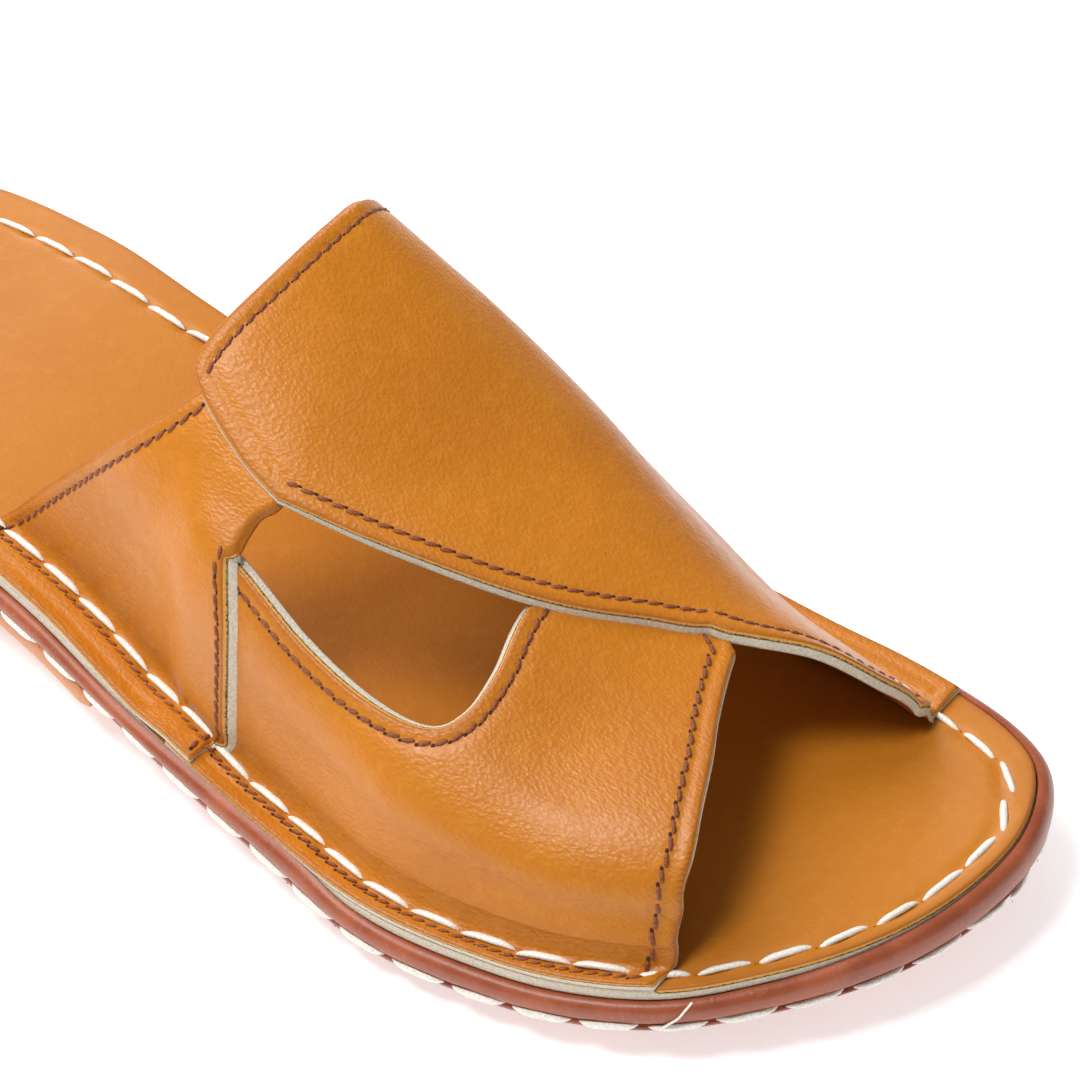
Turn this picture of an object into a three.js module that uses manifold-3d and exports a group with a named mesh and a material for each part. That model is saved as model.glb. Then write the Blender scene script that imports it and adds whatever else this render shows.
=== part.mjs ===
// A man's flat leather slide sandal for the right foot, with an open toe and an open back.
// Millimetres, +Z up, the toe towards -Y, the big toe's side towards +X, the floor at z = 0.
import * as THREE from "three";
import { mergeVertices } from "three/addons/utils/BufferGeometryUtils.js";
import Module from "manifold-3d";

const wasm = await Module();
wasm.setup();

// Driving dimensions.
const footbedLength = 278; // toe tip to heel end of the leather footbed
const ballWidth = 104; // widest part of the footbed
const insoleThick = 2.4;
const outsoleThick = 10.6; // rubber under the ball of the foot
const stripThick = 2.2; // the rubber that runs on above the wedge
const toeSpring = 7;
const heelRise = 14; // the heel's seat above the ball
const randBulge = 2.2; // how far the rubber rand stands out from the footbed's edge
const coverBulge = 2; // the same for the wedge's leather cover
const heelInset = 1.5; // the heel block's wall inside the footbed's edge
const wedgeNoseRadius = 2.2;
const wedgeNoseLean = 14; // how far back its front slopes down to the sole
const instepHeight = 72; // the last's highest point above the footbed, at the collar
const leatherThick = 2.4;
const flangeThick = 1.5; // skived leather under the welt stitches
const flangeWidth = 8.5; // from the footbed's edge to the welt stitches
const rimInset = 0.6; // the flange's cut edge inside the footbed's edge
const creaseRadius = 3.5; // where the flange turns up into the wall
const gap = 0.3; // clearance between pieces that touch
const insoleRounding = 0.4; // of the footbed's upper edge
const insoleUnderRounding = 0.25;
const heelRounding = 3; // of the heel block's lower edge
const heelLean = 2; // the heel's front face, from upright

// Where things lie, as shares of the footbed's length from the toe tip.
const flatFrom = 0.28; // forefoot's flat stretch on the floor
const flatTo = 0.37;
const seatFrom = 0.78; // the heel's seat is level behind this
const wedgeFrom = 0.535; // rounded nose of the wedge
const breastAt = 0.69; // front face of the heel block

// The footbed's outline: across is a share of the ball width, + to the big toe's side.
const toeTip = { along: 0, across: 0.115 };
const heelTip = { along: 1, across: 0 };
const outlineRows = [
  { along: 0.01, lateral: -0.058, medial: 0.25 },
  { along: 0.03, lateral: -0.176, medial: 0.337 },
  { along: 0.06, lateral: -0.288, medial: 0.387 },
  { along: 0.1, lateral: -0.4, medial: 0.419 },
  { along: 0.15, lateral: -0.473, medial: 0.439 },
  { along: 0.2, lateral: -0.511, medial: 0.444 },
  { along: 0.29, lateral: -0.538, medial: 0.452 },
  { along: 0.38, lateral: -0.505, medial: 0.447 },
  { along: 0.49, lateral: -0.457, medial: 0.39 },
  { along: 0.59, lateral: -0.404, medial: 0.35 },
  { along: 0.7, lateral: -0.38, medial: 0.352 },
  { along: 0.8, lateral: -0.365, medial: 0.372 },
  { along: 0.9, lateral: -0.34, medial: 0.348 },
  { along: 0.97, lateral: -0.228, medial: 0.232 },
  { along: 0.99, lateral: -0.135, medial: 0.137 },
];

// Side of the rubber sole under the footbed: out is a share of the rand's bulge from the
// footbed's edge, down a share of the outsole's thickness.
const randRows = [
  { out: -0.3, down: 0 },
  { out: 0.45, down: 0.03 },
  { out: 0.88, down: 0.12 },
  { out: 1, down: 0.23 },
  { out: 0.84, down: 0.34 },
  { out: 0.4, down: 0.4 },
  { out: 0.3, down: 0.46 },
  { out: 0.68, down: 0.51 },
  { out: 0.66, down: 0.64 },
  { out: 0.2, down: 0.84 },
  { out: -1.1, down: 1 },
];
// Side of the wedge's leather cover, in the same way.
const coverRows = [
  { out: 0.1, down: 0.18 },
  { out: 0.55, down: 0.27 },
  { out: 0.92, down: 0.38 },
  { out: 1, down: 0.5 },
  { out: 0.86, down: 0.66 },
  { out: 0.4, down: 0.82 },
  { out: -0.7, down: 0.94 },
  { out: -1.6, down: 1 },
];

// Sections of the last under the upper: crest is the highest point, across a share of the
// ball width and height a share of the instep height; the bulges stand out over the crease.
const lastRows = [
  { along: 0.05, crest: 0.04, height: 0.27, lateralBulge: 0.01, medialBulge: -0.02 },
  { along: 0.14, crest: 0.05, height: 0.335, lateralBulge: 0.02, medialBulge: -0.015 },
  { along: 0.21, crest: 0.06, height: 0.385, lateralBulge: 0.025, medialBulge: -0.01 },
  { along: 0.28, crest: 0.07, height: 0.49, lateralBulge: 0.025, medialBulge: 0.01 },
  { along: 0.36, crest: 0.1, height: 0.63, lateralBulge: 0.02, medialBulge: 0.03 },
  { along: 0.44, crest: 0.12, height: 0.8, lateralBulge: 0.01, medialBulge: 0.05 },
  { along: 0.52, crest: 0.14, height: 0.93, lateralBulge: 0, medialBulge: 0.06 },
  { along: 0.6, crest: 0.15, height: 1.04, lateralBulge: -0.01, medialBulge: 0.07 },
  { along: 0.7, crest: 0.15, height: 1.15, lateralBulge: -0.01, medialBulge: 0.07 },
];
// The medial shoulder of the same sections: widest is how high the widest point lies in the
// section, and fullness how square the shoulder is; 2 is an ellipse.
const shoulderRows = [
  { along: 0.05, widest: 0.1, fullness: 1.3 },
  { along: 0.14, widest: 0.12, fullness: 1.42 },
  { along: 0.21, widest: 0.18, fullness: 1.62 },
  { along: 0.28, widest: 0.26, fullness: 1.85 },
  { along: 0.36, widest: 0.33, fullness: 2.05 },
  { along: 0.44, widest: 0.36, fullness: 1.92 },
  { along: 0.52, widest: 0.36, fullness: 1.62 },
  { along: 0.6, widest: 0.36, fullness: 1.5 },
  { along: 0.7, widest: 0.36, fullness: 1.5 },
];
const lateralWidest = 0.36;
const lateralFullness = 2.1;

const clampUnit = (t) => Math.min(1, Math.max(0, t));
const easeUnit = (t) => clampUnit(t) ** 2 * (3 - 2 * clampUnit(t));
const mix = (a, b, t) => a + (b - a) * t;

// Smooth curve through rows [position, value], a cubic in each interval.
function smoothThrough(rows, at) {
  const last = rows.length - 1;
  let i = rows.findIndex((row, n) => n > 0 && at <= row[0]) - 1;
  if (i < 0) i = at <= rows[0][0] ? 0 : last - 1;
  const slope = (n) => {
    const before = rows[Math.max(0, n - 1)];
    const after = rows[Math.min(last, n + 1)];
    return (after[1] - before[1]) / (after[0] - before[0]);
  };
  const width = rows[i + 1][0] - rows[i][0];
  const t = (at - rows[i][0]) / width;
  const rise = rows[i + 1][1] - rows[i][1];
  const start = slope(i) * width;
  const end = slope(i + 1) * width;
  const cubic = start + end - 2 * rise;
  return rows[i][1] + t * (start + t * (rise - start - cubic + t * cubic));
}

// Height of the footbed's top above the floor.
function footbedZ(along) {
  const toe = toeSpring * Math.max(0, (flatFrom - along) / flatFrom) ** 2;
  const heel = heelRise * easeUnit((along - flatTo) / (seatFrom - flatTo));
  return outsoleThick + insoleThick + toe + heel;
}

const alongOf = (y) => y / footbedLength + 0.5;
const yOf = (along) => (along - 0.5) * footbedLength;

// Round the outline by an angle: 0 at the toe tip, half a turn at the heel, lateral side first.
const turnOf = (along) => Math.acos(1 - 2 * clampUnit(along));
const outlineTurns = [
  ...outlineRows.map((row) => [-turnOf(row.along), row.medial]).reverse(),
  [0, toeTip.across],
  ...outlineRows.map((row) => [turnOf(row.along), row.lateral]),
  [Math.PI, heelTip.across],
];
const aroundTurns = [
  ...outlineTurns.slice(-3).map(([turn, across]) => [turn - 2 * Math.PI, across]),
  ...outlineTurns,
  ...outlineTurns.slice(0, 3).map(([turn, across]) => [turn + 2 * Math.PI, across]),
];
function outlinePoint(turn) {
  const wrapped = turn > Math.PI ? turn - 2 * Math.PI : turn;
  const x = ballWidth * smoothThrough(aroundTurns, wrapped);
  return new THREE.Vector2(x, yOf((1 - Math.cos(turn)) / 2));
}

// The outline moved out by a distance.
function outlineMoved(turn, out) {
  const step = 0.01;
  const way = outlinePoint(turn + step).sub(outlinePoint(turn - step)).normalize();
  return outlinePoint(turn).add(new THREE.Vector2(way.y, -way.x).multiplyScalar(-out));
}

// Closed solid from indexed positions.
function solidFrom(positions, triangles) {
  const geometry = new THREE.BufferGeometry();
  geometry.setAttribute("position", new THREE.Float32BufferAttribute(positions, 3));
  geometry.setIndex(triangles);
  const merged = mergeVertices(geometry, 1e-4);
  return new wasm.Manifold(
    new wasm.Mesh({
      numProp: 3,
      vertProperties: merged.attributes.position.array,
      triVerts: new Uint32Array(merged.index.array),
    }),
  );
}

// Solid through rings of the outline, each { out, z(along) }, from the lowest ring up.
const ringSteps = 84;
function outlineLoft(rings) {
  const positions = [];
  for (const ring of rings)
    for (let i = 0; i < ringSteps; i += 1) {
      const point = outlineMoved((i / ringSteps) * 2 * Math.PI, ring.out);
      positions.push(point.x, point.y, ring.z(alongOf(point.y)));
    }
  const triangles = [];
  const top = (rings.length - 1) * ringSteps;
  for (let level = 0; level < top; level += ringSteps)
    for (let i = 0; i < ringSteps; i += 1) {
      const a = level + i;
      const b = level + ((i + 1) % ringSteps);
      triangles.push(a, a + ringSteps, b, b, a + ringSteps, b + ringSteps);
    }
  // Each cap is laid in strips from the lateral side straight across to the medial side.
  for (let i = 0; i < ringSteps / 2; i += 1) {
    const a = i;
    const b = i + 1;
    const c = (ringSteps - b) % ringSteps;
    const d = (ringSteps - a) % ringSteps;
    if (b !== c) triangles.push(a, b, c, top + a, top + c, top + b);
    if (a !== d) triangles.push(a, c, d, top + a, top + d, top + c);
  }
  return solidFrom(positions, triangles);
}

// Prism of a closed side view, a list of [y, z], right across the shoe.
function sidePrism(points) {
  const shape = new THREE.Shape(points.map(([y, z]) => new THREE.Vector2(y, z)));
  const geometry = new THREE.ExtrudeGeometry(shape, { depth: 2 * ballWidth, bevelEnabled: false });
  geometry.translate(0, 0, -ballWidth);
  geometry.applyMatrix4(new THREE.Matrix4().set(0, 0, 1, 0, 1, 0, 0, 0, 0, 1, 0, 0, 0, 0, 0, 1));
  geometry.deleteAttribute("normal");
  geometry.deleteAttribute("uv");
  const merged = mergeVertices(geometry, 1e-4);
  return solidFrom([...merged.attributes.position.array], [...merged.index.array]);
}

const underInsole = (along) => footbedZ(along) - insoleThick - gap;
const ringsOf = (rows, bulge) =>
  rows
    .map((row) => ({
      out: row.out * bulge,
      z: (along) => underInsole(along) - row.down * (outsoleThick - gap),
    }))
    .reverse();

function makeInsole() {
  return outlineLoft([
    { out: -insoleUnderRounding, z: (along) => underInsole(along) + gap },
    { out: 0, z: (along) => underInsole(along) + gap + insoleUnderRounding },
    { out: 0, z: (along) => footbedZ(along) - insoleRounding },
    { out: -insoleRounding, z: footbedZ },
  ]);
}

// Side view of all that lies under the rubber strip behind the wedge's nose.
function wedgeSide(clearance) {
  const noseY = yOf(wedgeFrom) - clearance;
  const radius = wedgeNoseRadius + clearance;
  const roof = (along) => underInsole(along) - stripThick + clearance;
  const noseTop = roof(wedgeFrom);
  const nose = [];
  const arcSteps = 8;
  for (let i = arcSteps; i >= 0; i -= 1) {
    const turn = (i / arcSteps) * (Math.PI / 2);
    nose.push([noseY + radius * (1 - Math.sin(turn)), noseTop - radius * (1 - Math.cos(turn))]);
  }
  const low = -footbedLength / 4;
  const behind = 1.1; // past the heel end
  const roofSteps = 25;
  const strip = [];
  for (let i = 1; i <= roofSteps; i += 1) {
    const along = mix(alongOf(noseY + radius), behind, i / roofSteps);
    strip.push([yOf(along), roof(along)]);
  }
  const footDrop = outsoleThick - stripThick - wedgeNoseRadius + 2 * clearance;
  const foot = [noseY + wedgeNoseLean, noseTop - radius - footDrop];
  return [[foot[0], low], foot, ...nose, ...strip, [yOf(behind), low]];
}

function makeOutsole() {
  return outlineLoft(ringsOf(randRows, randBulge)).subtract(sidePrism(wedgeSide(gap)));
}

function makeWedge() {
  const cover = outlineLoft(ringsOf(coverRows, coverBulge));
  return cover.intersect(sidePrism(wedgeSide(0)));
}

function makeHeel() {
  const breastY = yOf(breastAt);
  const block = outlineLoft([
    { out: -heelInset - heelRounding / 3, z: () => 0 },
    { out: -heelInset - heelRounding / 15, z: () => heelRounding / 4 },
    { out: -heelInset, z: () => heelRounding },
    { out: -heelInset, z: (along) => underInsole(along) - outsoleThick },
  ]);
  const back = footbedLength;
  const tall = footbedLength / 4;
  return block.intersect(
    sidePrism([
      [breastY + heelLean, -1],
      [back, -1],
      [back, tall],
      [breastY - heelLean, tall],
    ]),
  );
}

// Shares of the girth, from the lateral rim (0) over the crest (a half) to the medial rim (1).
const stitchAt = 0.045;
const footAt = 0.07;
const wideAt = 0.17;

// Half a section of the last as [distance from the crest's line, height].
function halfSection(girth, side) {
  const { rim, stitch, foot, wide, crest, floor, wideZ, crestZ, fullness } = side;
  if (girth <= stitchAt) return [mix(rim, stitch, girth / stitchAt), floor];
  if (girth <= footAt) {
    const turn = ((girth - stitchAt) / (footAt - stitchAt)) * (Math.PI / 2);
    const x = stitch + Math.sign(foot - stitch) * creaseRadius * Math.sin(turn);
    return [x, floor + creaseRadius * (1 - Math.cos(turn))];
  }
  if (girth <= wideAt) {
    const t = (girth - footAt) / (wideAt - footAt);
    return [mix(foot, wide, Math.sin((t * Math.PI) / 2)), mix(floor + creaseRadius, wideZ, t)];
  }
  const turn = ((girth - wideAt) / (0.5 - wideAt)) * (Math.PI / 2);
  const power = 2 / fullness;
  return [
    crest - (crest - wide) * Math.cos(turn) ** power,
    wideZ + (crestZ - wideZ) * Math.sin(turn) ** power,
  ];
}

const columnOf = (rows, key, along) =>
  smoothThrough(
    rows.map((row) => [row.along, row[key]]),
    along,
  );

// Point of the last's skin that the upper's inside lies on.
function lastPoint(girth, along) {
  const lateral = girth < 0.5;
  const outward = lateral ? -1 : 1;
  const turn = lateral ? turnOf(along) : 2 * Math.PI - turnOf(along);
  const step = 0.01;
  const ahead = outlinePoint(turn + step).sub(outlinePoint(turn - step));
  const slant = Math.hypot(1, ahead.x / ahead.y);
  const edge = outlinePoint(turn).x;
  const stitch = edge - outward * flangeWidth * slant;
  const foot = stitch - outward * creaseRadius;
  const floor = footbedZ(along) + gap;
  const crestZ = floor + instepHeight * columnOf(lastRows, "height", along);
  const bulge = ballWidth * columnOf(lastRows, lateral ? "lateralBulge" : "medialBulge", along);
  const [x, z] = halfSection(lateral ? girth : 1 - girth, {
    rim: edge - outward * rimInset * slant,
    stitch,
    foot,
    wide: foot + outward * bulge,
    crest: ballWidth * columnOf(lastRows, "crest", along),
    floor,
    wideZ: mix(
      floor + creaseRadius,
      crestZ,
      lateral ? lateralWidest : columnOf(shoulderRows, "widest", along),
    ),
    crestZ,
    fullness: lateral ? lateralFullness : columnOf(shoulderRows, "fullness", along),
  });
  return new THREE.Vector3(x, yOf(along), z);
}

function lastNormal(girth, along) {
  const stepGirth = 0.004;
  const stepAlong = 0.004;
  const across = lastPoint(Math.min(1, girth + stepGirth), along).sub(
    lastPoint(Math.max(0, girth - stepGirth), along),
  );
  const back = lastPoint(girth, along + stepAlong).sub(lastPoint(girth, along - stepAlong));
  return across.cross(back).normalize();
}

// The leather is cut flat and then drawn over the last. Each pattern lists its edge by girth
// and along; a corner ends one smooth stretch and starts the next.
const bandPattern = [
  { girth: 0.325, along: 0.431, corner: true },
  { girth: 0.375, along: 0.359 },
  { girth: 0.43, along: 0.283 },
  { girth: 0.472, along: 0.236 },
  { girth: 0.515, along: 0.192 },
  { girth: 0.62, along: 0.147 },
  { girth: 0.7, along: 0.122 },
  { girth: 0.8, along: 0.109 },
  { girth: 0.92, along: 0.105 },
  { girth: 1, along: 0.106, corner: true },
  { girth: 1, along: 0.673, corner: true },
  { girth: 0.94, along: 0.655 },
  { girth: 0.84, along: 0.592 },
  { girth: 0.74, along: 0.541 },
  { girth: 0.64, along: 0.52 },
  { girth: 0.54, along: 0.511 },
  { girth: 0.44, along: 0.5085 },
  { girth: 0.36, along: 0.514 },
  { girth: 0.337, along: 0.512 },
  { girth: 0.328, along: 0.496 },
  { girth: 0.322, along: 0.46 },
];
const rearStrapPattern = [
  { girth: 0, along: 0.442, corner: true },
  { girth: 0.07, along: 0.43 },
  { girth: 0.13, along: 0.428 },
  { girth: 0.2, along: 0.4275 },
  { girth: 0.256, along: 0.443, corner: true },
  { girth: 0.28, along: 0.4394 },
  { girth: 0.3, along: 0.4378 },
  { girth: 0.32, along: 0.431 },
  { girth: 0.35, along: 0.431 },
  { girth: 0.385, along: 0.44 },
  { girth: 0.4, along: 0.462 },
  { girth: 0.385, along: 0.486 },
  { girth: 0.34, along: 0.5 },
  { girth: 0.27, along: 0.526 },
  { girth: 0.175, along: 0.576 },
  { girth: 0.065, along: 0.65 },
  { girth: 0, along: 0.68, corner: true },
];
const vampPattern = [
  { girth: 0, along: 0.107, corner: true },
  { girth: 0.045, along: 0.108 },
  { girth: 0.07, along: 0.1115 },
  { girth: 0.13, along: 0.1143 },
  { girth: 0.22, along: 0.1168 },
  { girth: 0.28, along: 0.1196 },
  { girth: 0.335, along: 0.1278 },
  { girth: 0.4, along: 0.1431 },
  { girth: 0.45, along: 0.1616 },
  { girth: 0.52, along: 0.1895 },
  { girth: 0.585, along: 0.215, corner: true },
  { girth: 0.55, along: 0.268, corner: true },
  { girth: 0.49, along: 0.282 },
  { girth: 0.425, along: 0.285 },
  { girth: 0.37, along: 0.274 },
  { girth: 0.325, along: 0.273 },
  { girth: 0.29, along: 0.287 },
  { girth: 0.267, along: 0.328 },
  { girth: 0.256, along: 0.378 },
  { girth: 0.255, along: 0.43 },
  { girth: 0.25, along: 0.465, corner: true },
  { girth: 0, along: 0.465, corner: true },
];

// Where one leather lies on another it is lifted by this share of its thickness, and it comes
// down again over a short way behind the other's edge: from is where that starts, over its length.
const lapLift = 0.9;
const bandLanding = { from: 0.59, over: 0.13 }; // along the girth
const rearLanding = { from: 0.462, over: 0.04 }; // along the shoe
const rearUpperLanding = { from: 0.245, over: 0.05 }; // along the girth, under the band
const stillLifted = (at, landing) => 1 - easeUnit((at - landing.from) / landing.over);
const bandLift = (girth) => lapLift * stillLifted(girth, bandLanding);
const rearStrapLift = (girth, along) =>
  lapLift * stillLifted(along, rearLanding) * stillLifted(girth, rearUpperLanding);
const vampLift = () => 0;

// Lines of the gridded sheet, closer together at the crease.
const wallLines = 12;
const lengthwiseLines = 33;
const sheetFrom = 0.09;
const sheetTo = 0.69;
const halfGirthLines = [
  ...[0, 0.5].map((t) => t * stitchAt),
  ...[0, 0.33, 0.67].map((t) => mix(stitchAt, footAt, t)),
  ...[0, 0.5].map((t) => mix(footAt, wideAt, t)),
  ...Array.from({ length: wallLines }, (_, i) => mix(wideAt, 0.5, i / wallLines)),
];
const girthLines = [...halfGirthLines, 0.5, ...halfGirthLines.map((g) => 1 - g).reverse()];
const alongLines = Array.from({ length: lengthwiseLines }, (_, i) =>
  mix(sheetFrom, sheetTo, i / (lengthwiseLines - 1)),
);

// Flat leather is laid out with girth and along blown up to about a millimetre a unit, and
// dished a little, so that no two facets of the grid are level.
const flatGirth = 200;
const flatAlong = footbedLength;
const flatThick = 10;
const dishRadius = 2000;
const dish = (x, y) => ((x - flatGirth / 2) ** 2 + (y - flatAlong / 2) ** 2) / (2 * dishRadius);

function flatSheet() {
  const positions = [];
  const columns = girthLines.length;
  const perSide = columns * alongLines.length;
  for (const level of [0, 1])
    for (const along of alongLines)
      for (const girth of girthLines) {
        const x = girth * flatGirth;
        const y = along * flatAlong;
        positions.push(x, y, dish(x, y) + level * flatThick);
      }
  const triangles = [];
  const quad = (a, b, c, d) => triangles.push(a, b, c, a, c, d);
  const rows = alongLines.length;
  for (let j = 0; j < rows - 1; j += 1)
    for (let i = 0; i < columns - 1; i += 1) {
      const a = j * columns + i;
      quad(a, a + columns, a + columns + 1, a + 1);
      quad(perSide + a, perSide + a + 1, perSide + a + columns + 1, perSide + a + columns);
    }
  for (let i = 0; i < columns - 1; i += 1) {
    const far = (rows - 1) * columns + i;
    quad(i, i + 1, perSide + i + 1, perSide + i);
    quad(far + 1, far, perSide + far, perSide + far + 1);
  }
  for (let j = 0; j < rows - 1; j += 1) {
    const a = j * columns;
    const b = a + columns - 1;
    quad(a + columns, a, perSide + a, perSide + a + columns);
    quad(b, b + columns, perSide + b + columns, perSide + b);
  }
  return solidFrom(positions, triangles);
}

// Closed edge of a pattern, smooth between its corners.
function patternShape(pattern) {
  const points = pattern.map((p) => new THREE.Vector2(p.girth * flatGirth, p.along * flatAlong));
  const firstCorner = pattern.findIndex((p) => p.corner);
  const edge = [];
  let stretch = [];
  for (let n = 0; n <= pattern.length; n += 1) {
    const i = (firstCorner + n) % pattern.length;
    stretch.push(points[i]);
    if (n > 0 && pattern[i].corner) {
      const curve = new THREE.SplineCurve(stretch);
      const pieces = stretch.length > 2 ? Math.max(4, Math.round(curve.getLength() / 5)) : 1;
      edge.push(...curve.getSpacedPoints(pieces).slice(0, -1));
      stretch = [points[i]];
    }
  }
  return new THREE.Shape(edge);
}

const leatherAt = (girth) => {
  const fromRim = Math.min(girth, 1 - girth);
  return mix(flangeThick, leatherThick, easeUnit((fromRim - stitchAt) / (footAt - stitchAt)));
};

// Cut a pattern out of the sheet, draw it over the last, and lift it where it laps.
function lastedLeather(pattern, lift) {
  const cutter = new THREE.ExtrudeGeometry(patternShape(pattern), {
    depth: 8 * flatThick,
    bevelEnabled: false,
  });
  cutter.translate(0, 0, -2 * flatThick);
  cutter.deleteAttribute("normal");
  cutter.deleteAttribute("uv");
  const merged = mergeVertices(cutter, 1e-4);
  const cut = solidFrom([...merged.attributes.position.array], [...merged.index.array]);
  const flat = flatSheet().intersect(cut).getMesh();
  const positions = [];
  for (let i = 0; i < flat.vertProperties.length; i += flat.numProp) {
    const [x, y, z] = flat.vertProperties.slice(i, i + 3);
    const girth = clampUnit(x / flatGirth);
    const along = y / flatAlong;
    const level = (z - dish(x, y)) / flatThick;
    const height = (lift(girth, along) + level) * leatherAt(girth);
    const point = lastPoint(girth, along).addScaledVector(lastNormal(girth, along), height);
    positions.push(point.x, point.y, point.z);
  }
  return solidFrom(positions, [...flat.triVerts]);
}

function makeUpper() {
  return lastedLeather(vampPattern, vampLift)
    .add(lastedLeather(rearStrapPattern, rearStrapLift))
    .add(lastedLeather(bandPattern, bandLift));
}

function meshOf(name, solid, finish) {
  const { vertProperties, triVerts } = solid.getMesh();
  const geometry = new THREE.BufferGeometry();
  geometry.setAttribute("position", new THREE.BufferAttribute(vertProperties, 3));
  geometry.setIndex(new THREE.BufferAttribute(triVerts, 1));
  geometry.computeVertexNormals();
  const mesh = new THREE.Mesh(geometry, new THREE.MeshStandardMaterial(finish));
  mesh.name = name;
  return mesh;
}

const tanLeather = { color: "#c67f2c", roughness: 0.42, metalness: 0 };
const footbedLeather = { color: "#d68a35", roughness: 0.5, metalness: 0 };
const soleRubber = { color: "#a5522f", roughness: 0.5, metalness: 0 };

const sandal = new THREE.Group();
sandal.add(
  meshOf("outsole", makeOutsole(), soleRubber),
  meshOf("wedge", makeWedge(), tanLeather),
  meshOf("heel", makeHeel(), soleRubber),
  meshOf("insole", makeInsole(), footbedLeather),
  meshOf("upper", makeUpper(), tanLeather),
);

// The origin is on the floor, under the middle of the sandal's box.
const middle = new THREE.Box3().setFromObject(sandal).getCenter(new THREE.Vector3());
sandal.position.set(-middle.x, -middle.y, 0);

export default sandal;
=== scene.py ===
import math

import bpy
import numpy as np
from mathutils import Matrix, Vector, geometry, kdtree


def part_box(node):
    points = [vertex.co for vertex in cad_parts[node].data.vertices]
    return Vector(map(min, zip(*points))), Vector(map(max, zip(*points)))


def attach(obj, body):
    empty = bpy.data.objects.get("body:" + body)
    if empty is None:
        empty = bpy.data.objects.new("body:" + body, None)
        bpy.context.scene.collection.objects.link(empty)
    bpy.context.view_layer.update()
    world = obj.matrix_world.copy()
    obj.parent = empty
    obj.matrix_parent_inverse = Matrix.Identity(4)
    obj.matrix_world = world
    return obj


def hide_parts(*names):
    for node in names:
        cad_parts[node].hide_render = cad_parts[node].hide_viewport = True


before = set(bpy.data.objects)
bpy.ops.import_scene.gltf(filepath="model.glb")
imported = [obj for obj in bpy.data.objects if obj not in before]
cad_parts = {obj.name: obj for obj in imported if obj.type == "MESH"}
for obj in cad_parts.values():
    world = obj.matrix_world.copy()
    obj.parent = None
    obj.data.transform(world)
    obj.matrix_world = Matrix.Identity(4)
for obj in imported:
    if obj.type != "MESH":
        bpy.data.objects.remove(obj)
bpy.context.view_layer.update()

# A man's flat leather slide sandal for the right foot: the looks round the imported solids.
# Lengths are millimetres until a mesh is made. Girth runs from the lateral rim (0) over the
# crest (0.5) to the medial rim (1), along from the toe tip (0) to the heel end (1). A turn goes
# round the shoe from the toe tip (0) by the lateral side to the heel end (pi) and back.

photoView = {  # metres and degrees
    "azimuth": -52.114, "elevation": 42.0, "distance": 0.8, "lens": 144.68,
    "target": (0.048966, -0.017738, 0.0), "clip": (0.05, 50),
}


def addObject(name, data):
    item = bpy.data.objects.new(name, data)
    bpy.context.scene.collection.objects.link(item)
    return item


def aimAlong(item, way):
    item.rotation_mode = "QUATERNION"
    item.rotation_quaternion = way.to_track_quat("-Z", "Y")


def makeCamera():
    turn, rise = math.radians(photoView["azimuth"]), math.radians(photoView["elevation"])
    back = Vector((math.sin(turn) * math.cos(rise), -math.cos(turn) * math.cos(rise), math.sin(rise)))
    camera = addObject("camera", bpy.data.cameras.new("camera"))
    camera.data.lens = photoView["lens"]
    camera.data.clip_start, camera.data.clip_end = photoView["clip"]
    camera.location = Vector(photoView["target"]) + back * photoView["distance"]
    aimAlong(camera, -back)
    bpy.context.scene.camera = camera


makeCamera()
print("camera in place")

sandal = {  # the solids' own sizes
    "footbedLength": 278.0, "ballWidth": 104.0, "insoleThick": 2.4, "outsoleThick": 10.6,
    "stripThick": 2.2, "toeSpring": 7.0, "heelRise": 14.0, "randBulge": 2.2, "coverBulge": 2.0,
    "heelInset": 1.5, "wedgeNoseRadius": 2.2, "wedgeNoseLean": 14.0, "instepHeight": 72.0,
    "leatherThick": 2.4, "flangeThick": 1.5, "flangeWidth": 8.5, "creaseRadius": 3.5, "gap": 0.3,
    "flatFrom": 0.28, "flatTo": 0.37, "seatFrom": 0.78, "wedgeFrom": 0.535, "breastAt": 0.69,
    "stitchAt": 0.045, "footAt": 0.07, "wideAt": 0.17, "lateralWidest": 0.36, "lateralFullness": 2.1,
    "outlinePoints": 84,
    "flatGirth": 200.0,  # a piece of leather laid flat is about this wide from rim to rim
}
flatScale = np.array([sandal["flatGirth"], sandal["footbedLength"]])

# The footbed's outline: along, then lateral and medial as shares of the ball's width.
outlineRows = [
    (0.01, -0.058, 0.25), (0.03, -0.176, 0.337), (0.06, -0.288, 0.387), (0.1, -0.4, 0.419),
    (0.15, -0.473, 0.439), (0.2, -0.511, 0.444), (0.29, -0.538, 0.452), (0.38, -0.505, 0.447),
    (0.49, -0.457, 0.39), (0.59, -0.404, 0.35), (0.7, -0.38, 0.352), (0.8, -0.365, 0.372),
    (0.9, -0.34, 0.348), (0.97, -0.228, 0.232), (0.99, -0.135, 0.137),
]
# Sections of the last: along, crest, height, lateral bulge, medial bulge, widest, fullness.
lastRows = [
    (0.05, 0.04, 0.27, 0.01, -0.02, 0.1, 1.3), (0.14, 0.05, 0.335, 0.02, -0.015, 0.12, 1.42),
    (0.21, 0.06, 0.385, 0.025, -0.01, 0.18, 1.62), (0.28, 0.07, 0.49, 0.025, 0.01, 0.26, 1.85),
    (0.36, 0.1, 0.63, 0.02, 0.03, 0.33, 2.05), (0.44, 0.12, 0.8, 0.01, 0.05, 0.36, 1.92),
    (0.52, 0.14, 0.93, 0, 0.06, 0.36, 1.62), (0.6, 0.15, 1.04, -0.01, 0.07, 0.36, 1.5),
    (0.7, 0.15, 1.15, -0.01, 0.07, 0.36, 1.5),
]
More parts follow.
